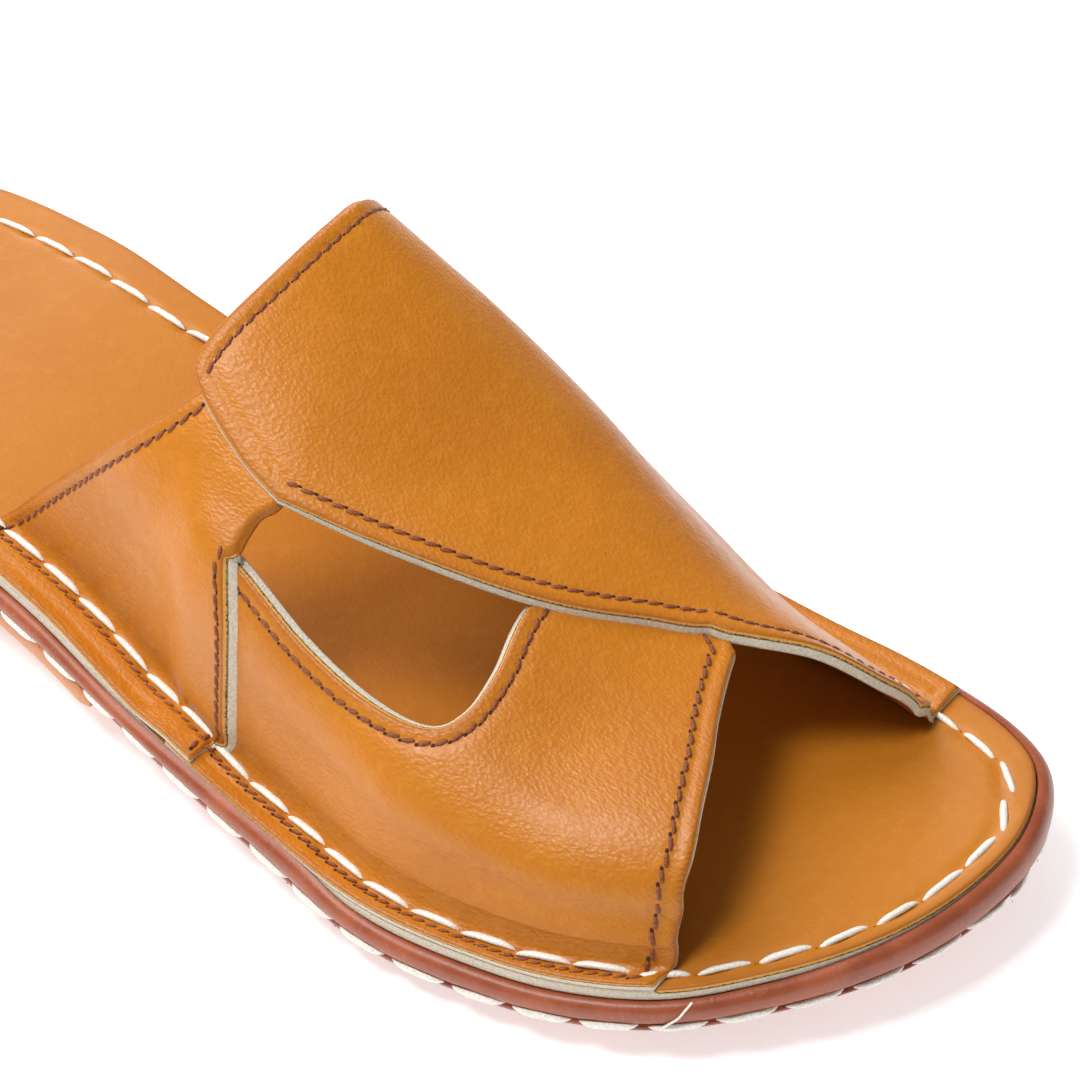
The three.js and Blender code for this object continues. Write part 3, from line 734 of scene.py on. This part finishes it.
def byShares(rule):
    # A rule for girth and along, made into one for places on flat leather
    return lambda flat: rule(*shares(flat))


def overVamp(along):
    # The rear strap lies on the vamp at its front and comes down behind the vamp's back edge
    return 1 - ease((along - 0.462) / 0.04)


bandLift = byShares(lambda girth, along: straps["lapLift"] * (1 - ease((girth - 0.59) / 0.13)))
rearLift = byShares(lambda girth, along: straps["lapLift"] * overVamp(along)
                    * (1 - ease((girth - 0.245) / 0.05)))


def noLift(flat):
    return np.zeros(len(flat))


def nowhere(flat):
    return np.zeros(len(flat), bool)


def strapRelief(lines, seamInset, sewnAt):
    # Relief of a strap: its flange, its creases and the trough that its seam draws
    def relief(flat, gaps):
        trough = -straps["seamTrough"] * np.exp(-((gaps - seamInset) / straps["seamWidth"]) ** 2)
        return flangeRelief(flat) + creases(flat, lines) + trough * sewnAt(*shares(flat))
    return relief


bandRelief = strapRelief(bandCreases, 2.8, lambda girth, along: girth > 0.335)
rearRelief = strapRelief(rearCreases, 2.5, lambda girth, along: along > 0.49)
vampRelief = strapRelief(vampCreases, 2.6, lambda girth, along: along < 0.44)


vampBevel = byShares(lambda girth, along: np.where(along > 0.26, 1.0, 0.25) * (girth > 0.05))
rearFolded = byShares(lambda girth, along: (girth > 0.262) | (along > 0.49) & (girth > 0.01))
rearBevel = byShares(lambda girth, along: 1.7 * (girth < 0.262) * (along < 0.46)
                     * ease((girth - 0.01) / 0.05))
bandFolded = byShares(lambda girth, along: (along > 0.5) & (girth > 0.34) & (girth < 0.99))
bandBevel = byShares(lambda girth, along: 0.7 * (along < 0.5) * (girth < 0.95))
edges = {}


def makeStrap(name, pattern, *forms):
    edges[name] = patternEdge(pattern, onLast, straps["edgeSpacing"])
    piece = sheetPiece(name, edges[name], onLast, strapSettings, leatherAt, *forms,
                       [strapLeather, liningLeather, cutEdge])
    print(name, len(piece.data.polygons), "faces")
    return piece


vamp = makeStrap("vamp", vampPattern, noLift, vampRelief, nowhere, vampBevel)
rearStrap = makeStrap("rearStrap", rearStrapPattern, rearLift, rearRelief, rearFolded, rearBevel)
band = makeStrap("band", bandPattern, bandLift, bandRelief, bandFolded, bandBevel)
finishPiece(vamp, "strap_leather")
finishPiece(rearStrap, "strap_leather")
finishPiece(band, "strap_leather", "upper")

footbed = {"insets": (0.2, 0.5, 1.0, 1.6, 2.3, 3.0, 3.8, 4.6, 5.4, 6.2, 7.0, 7.8, 8.6, 9.4, 10.4, 11.6),
           "foldRadius": 0.6, "cutRadius": 0.35, "foldSwell": 0.3, "cutSwell": 0.12, "underRelief": 0.0,
           "grids": [(3.2, lambda flat: ~nowhere(flat))], "edgeSpacing": 1.1, "middle": 0.04, "hidden": 0.55}


def footbedRelief(flat, gaps):
    along = alongOf(flat[:, 1])
    middle = footbed["middle"] * sandal["ballWidth"] * np.sin(math.pi * np.clip(along, 0, 1))
    turn = turnAt(flat[:, 0] < middle, along)
    return weltDip(turn, gaps - around(weltTurns, turn))


def makeFootbed():
    fine = np.stack(outlinePoint(np.linspace(0, 2 * math.pi, 3001)[:-1]), -1)
    edge = resampled(fine, fine, footbed["edgeSpacing"], closed=True)[::-1]
    return sheetPiece("footbed", edge, onFootbed, footbed,
                      lambda flat: np.full(len(flat), sandal["insoleThick"]), noLift, footbedRelief,
                      nowhere, noLift, [footbedLeather, liningLeather, cutEdge])


def underFlange(lateral, along):
    (latFrom, latTo), (medFrom, medTo) = straps["lateralFlange"], straps["medialFlange"]
    return (along > np.where(lateral, latFrom, medFrom)) & (along < np.where(lateral, latTo, medTo))


def hideFilmUnderFlange(piece):
    # Under a strap's flange the footbed's cut edge runs on from the flange's, with no film of its own
    places = placesOf(piece.data)
    covered = underFlange(places[:, 0] < footbed["middle"] * sandal["ballWidth"], alongOf(places[:, 1]))
    level = np.zeros(len(covered), np.float32)
    values = piece.data.attributes["cutLevel"].data
    values.foreach_get("value", level)
    values.foreach_set("value", np.where(covered, np.minimum(level, footbed["hidden"]), level))


footbedPiece = makeFootbed()
hideFilmUnderFlange(footbedPiece)
finishPiece(footbedPiece, "footbed_leather", "insole")
print("footbed", len(footbedPiece.data.polygons), "faces")

# Side of the sole from the footbed down: down as a share of the height, out as a share of the bulge
randRows = [(0, 0.3), (0.02, 0.55), (0.1, 0.88), (0.22, 1), (0.34, 0.84), (0.4, 0.42), (0.45, 0.32),
            (0.5, 0.55), (0.58, 0.45), (0.68, -0.1), (0.84, -1.1), (1, -2.3)]
coverRows = [(0.18, 0.1), (0.27, 0.55), (0.38, 0.92), (0.5, 1), (0.66, 0.86), (0.82, 0.4), (0.94, -0.7),
             (1, -1.6)]
rand = {  # the bead climbs over the footbed's cut edge; each row is along, lateral, medial
    "topRise": [(0.02, 1.2, 2.0), (0.06, 0.4, 2.3), (0.12, 0.15, 2.4), (0.25, 0.15, 2.4), (0.3, 1.0, 2.4),
                (0.34, 2.9, 2.4), (0.42, 3.3, 2.3), (0.48, 2.4, 1.6), (0.53, 1.1, 0.8), (0.57, 0.4, 0.4),
                (0.9, 0.4, 0.4)],
    "grooveRise": [(0.02, -0.8, -1.5), (0.06, -0.3, -1.8), (0.12, 0, -1.5), (0.25, 0.2, -0.8),
                   (0.3, 1.1, -0.4), (0.36, 3.1, 0.4), (0.42, 3.8, 1.4), (0.5, 3.6, 2.4), (0.545, 1.9, 1.7),
                   (0.6, 1.1, 1.1), (0.9, 1.1, 1.1)],
    "extraBulge": [(0.02, 0.5, 1.0), (0.06, 0.3, 1.1), (0.12, 0, 1.0), (0.25, 0, 0.5), (0.4, 0, 0),
                   (0.9, 0, 0)],
    "waistInset": [(0.3, 0, 0), (0.36, 1.6, 0.8), (0.44, 2.8, 1.4), (0.53, 2.8, 1.6), (0.6, 0, 0)],
    "groove": 0.43, "lip": 0.2, "stitchOut": 1.15, "beadTo": 0.6, "waistFrom": 0.55, "waistOver": 0.35,
    "inner": -0.66,
}
topRise = roundTheShoe(rand["topRise"], 1.7, 0.4)
grooveRise = roundTheShoe(rand["grooveRise"], -1.2, 1.1)
extraBulge = roundTheShoe(rand["extraBulge"], 0.8, 0)
waistInset = roundTheShoe(rand["waistInset"], 0, 0)


def loftPiece(name, rings, material, steps=620):
    turns = np.arange(steps) / steps * 2 * math.pi
    points = [np.stack(ring(turns), -1) for ring in rings]
    faces = []
    for level in range(len(rings) - 1):
        for i in range(steps):
            a, b = level * steps + i, level * steps + (i + 1) % steps
            faces.append((a, a + steps, b + steps, b))
    top = (len(rings) - 1) * steps
    for i in range(steps // 2):
        a, b, c, d = i, i + 1, (steps - i - 1) % steps, (steps - i) % steps
        strip = [a, b, c] if a == d else [a, b, d] if b == c else [a, b, c, d]
        faces += [tuple(strip), tuple(top + n for n in reversed(strip))]
    return pieceFrom(name, np.concatenate(points), faces, [material])


def ringAt(out, height):
    def ring(turns):
        x, y = outlineMoved(turns, out)
        return x, y, height(alongOf(y))
    return ring


def randPoint(turns, share, proud=0.0, out=None, top=1.0):
    # Point on the rubber's side, standing proud of it by a distance or a fixed way out
    below = ease((share - rand["groove"]) / (1 - rand["groove"]))
    rise = mix(around(topRise, turns), around(grooveRise, turns), min(share / rand["groove"], 1))
    if out is None:
        bulge = sandal["randBulge"] + (around(extraBulge, turns) if share < rand["beadTo"] else 0)
        out = smoothThrough(randRows, share) * bulge + proud
        out = out - around(waistInset, turns) * ease((share - rand["waistFrom"]) / rand["waistOver"])
    x, y = outlineMoved(turns, out)
    side = share * (sandal["outsoleThick"] - sandal["gap"])
    return x, y, underInsole(alongOf(y)) + rise * (1 - below) * top - side


def randRings(count):
    rings = [lambda turns, s=share: randPoint(turns, s) for share in np.linspace(1, 0, count)]
    lip = rand["lip"]
    rings += [lambda turns, o=out, t=top: randPoint(turns, 0, out=o, top=t)
              for out, top in ((lip + 0.15, 1.04), (lip, 0.96), (lip, 0.0), (rand["inner"], 0.0))]
    return rings


def coverRings(count):
    downs = np.linspace(coverRows[0][0], coverRows[-1][0], count)
    height = sandal["outsoleThick"] - sandal["gap"]
    return [ringAt(smoothThrough(coverRows, share) * sandal["coverBulge"],
                   lambda along, s=share: underInsole(along) - s * height) for share in reversed(downs)]


def wedgeSide(clearance, low=-60.0, behind=1.1):
    # Side view of the room for the wedge: its leaning front, its rounded nose and its top
    noseY, radius = yOf(sandal["wedgeFrom"]) - clearance, sandal["wedgeNoseRadius"] + clearance
    noseTop = underInsole(sandal["wedgeFrom"]) - sandal["stripThick"] + clearance
    drop = sandal["outsoleThick"] - sandal["stripThick"] - sandal["wedgeNoseRadius"] + 2 * clearance
    footY = noseY + sandal["wedgeNoseLean"]
    side = [(footY, low), (footY, noseTop - radius - drop)]
    side += [(noseY + radius * (1 - math.sin(bend)), noseTop - radius * (1 - math.cos(bend)))
             for bend in np.linspace(math.pi / 2, 0, 13)]
    side += [(yOf(along), underInsole(along) - sandal["stripThick"] + clearance)
             for along in np.linspace(alongOf(noseY + radius), behind, 60)[1:]]
    return side + [(yOf(behind), low)]


def sidePrism(side):
    count, wide = len(side), sandal["ballWidth"]
    points = np.array([(x, y, z) for x in (-wide, wide) for y, z in side])
    faces = [tuple(range(count)), tuple(reversed(range(count, 2 * count)))]
    faces += [(i, i + count, (i + 1) % count + count, (i + 1) % count) for i in range(count)]
    faces = [tuple(reversed(f)) for f in faces]
    return pieceFrom("cutter", points, faces, [], smooth=False)


def carve(piece, cutter, operation):
    modifier = piece.modifiers.new("carve", "BOOLEAN")
    modifier.operation, modifier.solver, modifier.object = operation, "EXACT", cutter
    mesh = plainMesh(piece, piece.name)
    bpy.data.objects.remove(cutter)
    mesh.polygons.foreach_set("use_smooth", np.ones(len(mesh.polygons), bool))
    mesh.set_sharp_from_angle(angle=math.radians(40))
    return piece


def markSide(piece):
    places = placesOf(piece.data)
    down = underInsole(alongOf(places[:, 1])) - places[:, 2]
    addValues(piece.data, "sideDown", down / (sandal["outsoleThick"] - sandal["gap"]))


outsole = loftPiece("sole", randRings(44), randRubber)
carve(outsole, sidePrism(wedgeSide(sandal["gap"])), "DIFFERENCE")
finishPiece(outsole, "sole_rubber", "outsole")
cover = loftPiece("wedgeCover", coverRings(30), wedgeLeather)
carve(cover, sidePrism(wedgeSide(0)), "INTERSECT")
markSide(cover)
finishPiece(cover, "strap_leather", "wedge")
heelFoot = [(1, 0), (0.6, 0.2), (0.2, 0.8), (0, 2.4)]  # rounded foot of the heel: inwards, height
heelRings = [ringAt(-sandal["heelInset"] - inwards, lambda along, z=height: 0 * along + z)
             for inwards, height in heelFoot]
heelTop = ringAt(-sandal["heelInset"], lambda along: underInsole(along) - sandal["outsoleThick"])
heelBlock = loftPiece("heelBlock", heelRings + [heelTop], randRubber)
breastY, behindHeel = yOf(sandal["breastAt"]), sandal["footbedLength"]
heelSide = [(breastY + 2, -1.0), (behindHeel, -1.0), (behindHeel, 70.0), (breastY - 2, 70.0)]
carve(heelBlock, sidePrism(heelSide), "INTERSECT")
finishPiece(heelBlock, "sole_rubber", "heel")
print("sole, wedge and heel made")


# Stitches

stitchForm = {  # every stitch's dive at its ends, taper, twist, strands, the dark dot of painted shade at its hole and spread of sizes
    "steps": 13, "dive": 3.2, "full": 1.04, "taper": 3.0, "blunt": 0.55, "twist": 3.5,
    "star": {"Points": 4, "Inner Radius": 0.45, "Outer Radius": 0.5},
    "hole": {"Segments": 8, "Rings": 5}, "holeShape": (1.3, 0.9, 0.55), "holeDown": -0.45,
    "least": (0.93, 0.92, 0.9), "most": (1.06, 1.08, 1.1),
}


def makeStitchTree():
    tree = bpy.data.node_groups.new("stitch row", "GeometryNodeTree")
    form = stitchForm

    def node(kind, *inputs, **settings):
        return made(tree, kind, *inputs, **settings)

    def calc(operation, *values):
        return node("ShaderNodeMath", dict(enumerate(values)), operation=operation)

    def vector(**parts):
        return node("ShaderNodeCombineXYZ", parts)

    sockets = {"Path": "Geometry", **dict.fromkeys(
        ("Pitch", "Length", "Thickness", "Dip", "Slant", "Sway", "Hole", "Flatness"), "Float")}
    for key, kind in {**sockets, "Thread": "Material", "Shade": "Material"}.items():
        tree.interface.new_socket(key, in_out="INPUT", socket_type="NodeSocket" + kind)
    tree.interface.new_socket("Stitches", in_out="OUTPUT", socket_type="NodeSocketGeometry")
    given = addNode(tree, "NodeGroupInput").outputs
    line = node("GeometryNodeCurvePrimitiveLine", {"Start": (-0.5, 0, 0), "End": (0.5, 0, 0)})
    fine = node("GeometryNodeResampleCurve", {"Curve": line, "Count": form["steps"]})
    factor = node("GeometryNodeSplineParameter", output="Factor")
    fromMiddle = calc("ABSOLUTE", calc("MULTIPLY_ADD", factor, 2.0, -1.0))
    sink = calc("MULTIPLY", calc("POWER", fromMiddle, form["dive"]), calc("MULTIPLY", given["Dip"], -1.0))
    reach = calc("MULTIPLY", calc("SUBTRACT", factor, 0.5), calc("SUBTRACT", given["Length"], 1.0))
    bent = node("GeometryNodeSetPosition", {"Geometry": fine, "Offset": vector(X=reach, Z=sink)})
    left = calc("SUBTRACT", form["full"], calc("POWER", fromMiddle, form["taper"]))
    taper = calc("MULTIPLY", given["Thickness"], calc("POWER", left, form["blunt"]))
    tilt = calc("MULTIPLY", factor, form["twist"])
    twisted = node("GeometryNodeSetCurveTilt", {"Curve": bent, "Tilt": tilt})
    body = node("GeometryNodeCurveToMesh", {
        "Curve": twisted, "Profile Curve": node("GeometryNodeCurveStar", form["star"]), "Scale": taper,
        "Fill Caps": True})
    flat = vector(X=1.0, Y=1.0, Z=given["Flatness"])
    body = node("GeometryNodeTransform", {"Geometry": body, "Scale": flat})
    body = node("GeometryNodeSetMaterial", {"Geometry": body, "Material": given["Thread"]})
    # A flat dark dot sunk at each stitch's end: painted shade in the needle's or awl's hole
    dot = node("GeometryNodeMeshUVSphere", {**form["hole"], "Radius": given["Hole"]})
    away = vector(X=calc("MULTIPLY", given["Pitch"], 0.5),
                  Z=calc("MULTIPLY", given["Hole"], form["holeDown"]))
    dot = node("GeometryNodeTransform", {"Geometry": dot, "Translation": away, "Scale": form["holeShape"]})
    dot = node("GeometryNodeSetMaterial", {"Geometry": dot, "Material": given["Shade"]})
    stitch = plug(addNode(tree, "GeometryNodeJoinGeometry", {0: body}), {0: dot}).outputs[0]
    curve = node("GeometryNodeMeshToCurve", {"Mesh": given["Path"]})
    even = node("GeometryNodeResampleCurve", {"Curve": curve, "Length": given["Pitch"]}, mode="LENGTH")
    up = node("GeometryNodeInputNamedAttribute", {"Name": "up"}, data_type="FLOAT_VECTOR")
    tangent = node("GeometryNodeInputTangent")
    facing = node("FunctionNodeAlignRotationToVector", {"Vector": tangent}, axis="X")
    facing = node("FunctionNodeAlignRotationToVector", {"Rotation": facing, "Vector": up}, axis="Z",
                  pivot_axis="X")
    sway = node("FunctionNodeRandomValue", {2: -1.0, 3: 1.0, "Seed": 11}, output=1, data_type="FLOAT")
    euler = vector(Z=calc("MULTIPLY_ADD", sway, given["Sway"], given["Slant"]))
    swung = node("FunctionNodeEulerToRotation", {0: euler})
    facing = node("FunctionNodeRotateRotation", {"Rotation": facing, "Rotate By": swung},
                  rotation_space="LOCAL")
    size = node("FunctionNodeRandomValue", {0: form["least"], 1: form["most"], "Seed": 5},
                data_type="FLOAT_VECTOR")
    placed = node("GeometryNodeInstanceOnPoints", {"Points": even, "Instance": stitch, "Rotation": facing,
                                                   "Scale": size})
    real = node("GeometryNodeRealizeInstances", {0: placed})
    addNode(tree, "NodeGroupOutput", {0: node("GeometryNodeSetShadeSmooth", {0: real})})
    return tree


stitchTree = makeStitchTree()
cord = {"Thread": whiteCord, "Shade": awlHoleShade}
thread = {"Thread": brownThread, "Shade": needleHoleShade}


def sewRows(name, rows, settings, slotName):
    points, links, ups = [], [], []
    for line, normals in rows:
        links += [(len(points) + i, len(points) + i + 1) for i in range(len(line) - 1)]
        points += line.tolist()
        ups += normals.tolist()
    mesh = bpy.data.meshes.new(name)
    mesh.from_pydata(points, links, [])
    up = mesh.attributes.new("up", "FLOAT_VECTOR", "POINT")
    up.data.foreach_set("vector", np.array(ups, np.float32).ravel())
    piece = addObject(name, mesh)
    modifier = piece.modifiers.new("stitches", "NODES")
    modifier.node_group = stitchTree
    for item in stitchTree.interface.items_tree:
        if item.name in settings:
            modifier[item.identifier] = settings[item.name]
    mesh = plainMesh(piece, name)
    mesh.transform(Matrix.Translation(shift) @ Matrix.Scale(0.001, 4))
    print(name, len(mesh.polygons), "faces")
    return finishPiece(piece, slotName)


def weltHeight(turn, reach=40, width=14):
    # Height over the footbed that the stitches lie on, the flange's or none, smoothed along the line
    along, lateral = (1 - np.cos(turn)) / 2, turn <= math.pi
    height = np.where(underFlange(lateral, along), straps["sit"] + sandal["flangeThick"], 0.0)
    onRear = lateral & (along > straps["rearFrom"]) & underFlange(lateral, along)
    height += np.where(onRear, straps["lapLift"] * sandal["flangeThick"] * overVamp(along), 0)
    window = np.exp(-(np.arange(-reach, reach + 1) / width) ** 2)
    run = np.concatenate([height[-reach:], height, height[:reach]])
    return np.convolve(run, window / window.sum(), "same")[reach:-reach]


loopHeight = weltHeight(loopTurns)


def squareTo(points, outward):
    # Ways square to a line that lean outwards
    tangent = unit(np.gradient(points, axis=0))
    return unit(np.cross(np.cross(tangent, outward), tangent))


def weltLine(offset, start, end, rise):
    # Stretch of the welt line between two distances from the toe tip, moved by an offset outwards
    at = np.arange(start, end, 0.5)
    turn = np.interp(at % loopReach[-1], loopReach, loopTurns)
    inset = around(weltTurns, turn) - offset
    x, y = outlineMoved(turn, -inset)
    z = footbedZ(alongOf(y)) + np.interp(at % loopReach[-1], loopReach, loopHeight) + rise
    points = np.stack([x, y, z], -1)
    return points, squareTo(points, [0, 0, 1.0])


def grooveLine():
    def beside(turns, further=0):
        return np.stack(randPoint(turns, rand["groove"], rand["stitchOut"] + further), -1)

    turns = np.linspace(0, 2 * math.pi, 3001)
    reach = reachOf(np.linalg.norm(np.diff(beside(turns)[:, :2], axis=0), axis=1))
    pitch = evenPitch(reach[-1], welt["groovePitch"])
    at = welt["grooveStart"] + np.arange(0, reach[-1] - pitch * 0.9, 0.5)
    turn = np.interp(at % reach[-1], reach, turns)
    points = beside(turn)
    outward = unit((beside(turn, 1) - points) * [1, 1, 0] - [0, 0, 0.15])
    return points, squareTo(points, outward), pitch


weltRow = weltLine(0, 0, loopReach[-1] - weltPitch * 0.9, 0.05)
sewRows("weltStitches", [weltRow], {
    "Pitch": weltPitch, "Length": welt["length"], "Thickness": welt["thickness"], "Dip": 0.85,
    "Slant": 0.03, "Sway": 0.05, "Hole": 0.14, "Flatness": 0.75, **cord}, "strap_leather")
groovePoints, grooveUps, groovePitch = grooveLine()
sewRows("soleStitches", [(groovePoints, grooveUps)], {
    "Pitch": groovePitch, "Length": welt["grooveLength"], "Thickness": welt["grooveThickness"], "Dip": 0.8,
    "Slant": 0.02, "Sway": 0.03, "Hole": 0.14, "Flatness": 0.75, **cord}, "sole_rubber")

seams = {"Pitch": 2.7, "Length": 2.35, "Thickness": 0.86, "Dip": 0.4, "Slant": 0.2, "Sway": 0.06, "Hole": 0.4,
         "Flatness": 0.85, **thread}
rimSeam = {**seams, "Pitch": 2.4, "Length": 2.1, "Thickness": 0.7, "Slant": 0.34, "Hole": 0.34}


def settled(rows, reach):
    padded = np.pad(rows, ((reach, reach), (0, 0)), "edge")
    return np.mean([padded[i:i + len(rows)] for i in range(2 * reach + 1)], 0)


def runAhead(line, distance, skipped=2, aim=7):
    # The line with its first places replaced by one that lies straight ahead of the rest
    first = line[skipped]
    ahead = first + unit(first - line[aim]) * distance
    return np.concatenate([[ahead], line[skipped:]]) if distance else line


def seamLine(name, start, end, inset, lift, relief, ahead=(0, 0), rise=0.1, closest=0.2):
    # A seam that follows a strap's edge from one (girth, along) to another, the shorter way round
    edge = edges[name]
    first, final = (int(np.argmin(np.linalg.norm(edge - np.array(p) * flatScale, axis=1)))
                    for p in (start, end))
    between = (final - first) % len(edge)
    steps = np.arange(between + 1) if between < len(edge) / 2 else -np.arange(len(edge) - between + 1)
    line = insetLine(edge, onLast, inset)[(first + steps) % len(edge)]
    line = runAhead(runAhead(line, ahead[0])[::-1], ahead[1])[::-1]
    base, normal = onLast(line)
    normal = unit(settled(normal, 6))
    height = (lift(line) + 1) * leatherAt(line) + rise + relief(line, np.full(len(line), inset))
    points = settled(base + normal * height[:, None], 1)
    keep = np.concatenate([[True], np.linalg.norm(np.diff(points, axis=0), axis=1) > closest])
    return points[keep], normal[keep]


seamRows = [
    seamLine("band", (0.335, 0.431), (0.96, 0.104), 2.7, bandLift, bandRelief, (2.6, 0)),
    seamLine("band", (0.985, 0.668), (0.337, 0.512), 2.9, bandLift, bandRelief, (0, 1.6)),
    seamLine("rearStrap", (0.257, 0.441), (0.02, 0.442), 1.3, rearLift, rearRelief),
    seamLine("rearStrap", (0.03, 0.67), (0.32, 0.505), 2.5, rearLift, rearRelief),
    seamLine("vamp", (0.03, 0.107), (0.6, 0.221), 3.7, noLift, vampRelief),
    seamLine("vamp", (0.45, 0.285), (0.254, 0.43), 2.4, noLift, vampRelief, (0, 2.0)),
]
sewRows("strapSeams", seamRows, seams, "strap_leather")
sewRows("rimSeam", [weltLine(1.75, 62.0, 300.0, 0.0)], rimSeam, "strap_leather")
print("stitches sewn")


looseEnd = {  # steps round the shoe, down the sole's side and out of it that the thread's end passes
    "along": 0.098, "radius": 0.2, "tip": 0.35, "sides": 8,
    "run": [(0.02, 0.46, 1.1), (0.012, 0.34, 0.5), (-0.004, 0.2, 0.2), (-0.014, 0.08, 0.22),
            (-0.026, 0.0, 0.4)],
}


def sideTurn(along):
    # Turn round the shoe at which its lateral side passes a place along it
    x, y = outlinePoint(loopTurns)
    return loopTurns[np.argmin(np.abs(alongOf(y) - along) + (x > 0))]


def makeLooseThread():
    # A loose end of thread: a fine tube along a smooth run of points
    turn, count = sideTurn(looseEnd["along"]), looseEnd["sides"]
    run = splineThrough([np.stack(randPoint(np.array([turn + step]), share, proud), -1)[0]
                         for step, share, proud in looseEnd["run"]], 8)
    tangent = unit(np.gradient(run, axis=0))
    side = unit(np.cross(tangent, [0.3, 0.2, 1.0]))
    lift = np.cross(side, tangent)
    shrink = np.ones(len(run))
    shrink[0] = shrink[-1] = looseEnd["tip"]
    rings = [run + looseEnd["radius"] * shrink[:, None] * (side * math.cos(a) + lift * math.sin(a))
             for a in np.linspace(0, 2 * math.pi, count + 1)[:-1]]
    points = np.stack(rings, 1).reshape(-1, 3)
    faces = []
    for i in range(len(run) - 1):
        for k in range(count):
            a, b = i * count + k, i * count + (k + 1) % count
            faces.append((a, b, b + count, a + count))
    faces += [tuple(reversed(range(count))), tuple(range(len(points) - count, len(points)))]
    return pieceFrom("looseThread", points, [tuple(reversed(f)) for f in faces], [whiteCord])


finishPiece(makeLooseThread(), "strap_leather")
print("loose thread laid")


# Stage

studio = {  # a place, a size and a power for each softbox, all in metres and watts
    "floor": "#ECEEF3", "haze": "#FAFAFC", "hazeSize": 400.0, "floorSize": 6, "floorDown": 0.0002,
    "glow": 0.56, "world": 0.29, "aim": (0.03, -0.02, 0.03),
    "softboxes": [("overhead", (0.0, 0.7, 0.98), 0.7, 9.0), ("side", (-0.38, 0.1, 0.97), 0.3, 7.0),
                  ("behind", (0.75, 0.75, 0.4), 0.35, 2.2)],
}


def makeStage():
    bpy.ops.mesh.primitive_plane_add(size=studio["floorSize"])
    floor = bpy.context.object
    floor.name = "floor"
    # Translucent acrylic table lit a little from below, so that shadows on it stay light
    material, tree, surface, place = startMaterial("lit acrylic studio table", {
        "Roughness": 0.7, "Emission Color": (1, 1, 1, 1), "Emission Strength": studio["glow"]})
    haze = patternOf(tree, place, studio["hazeSize"], 2)
    plug(surface, {"Base Color": blended(tree, haze, studio["floor"], studio["haze"])})
    floor.data.materials.append(material)
    floor.location.z = -studio["floorDown"]
    world = bpy.data.worlds.new("studio")
    bpy.context.scene.world = world
    world.use_nodes = True
    plug(world.node_tree.nodes["Background"], {"Color": (1, 1, 1, 1), "Strength": studio["world"]})
    for name, place, size, power in studio["softboxes"]:
        light = addObject(name, bpy.data.lights.new(name, "AREA"))
        light.data.size, light.data.energy = size, power
        light.location = place
        aimAlong(light, Vector(studio["aim"]) - Vector(place))
    bpy.context.scene.view_settings.view_transform = "Standard"


makeStage()
bpy.context.view_layer.update()
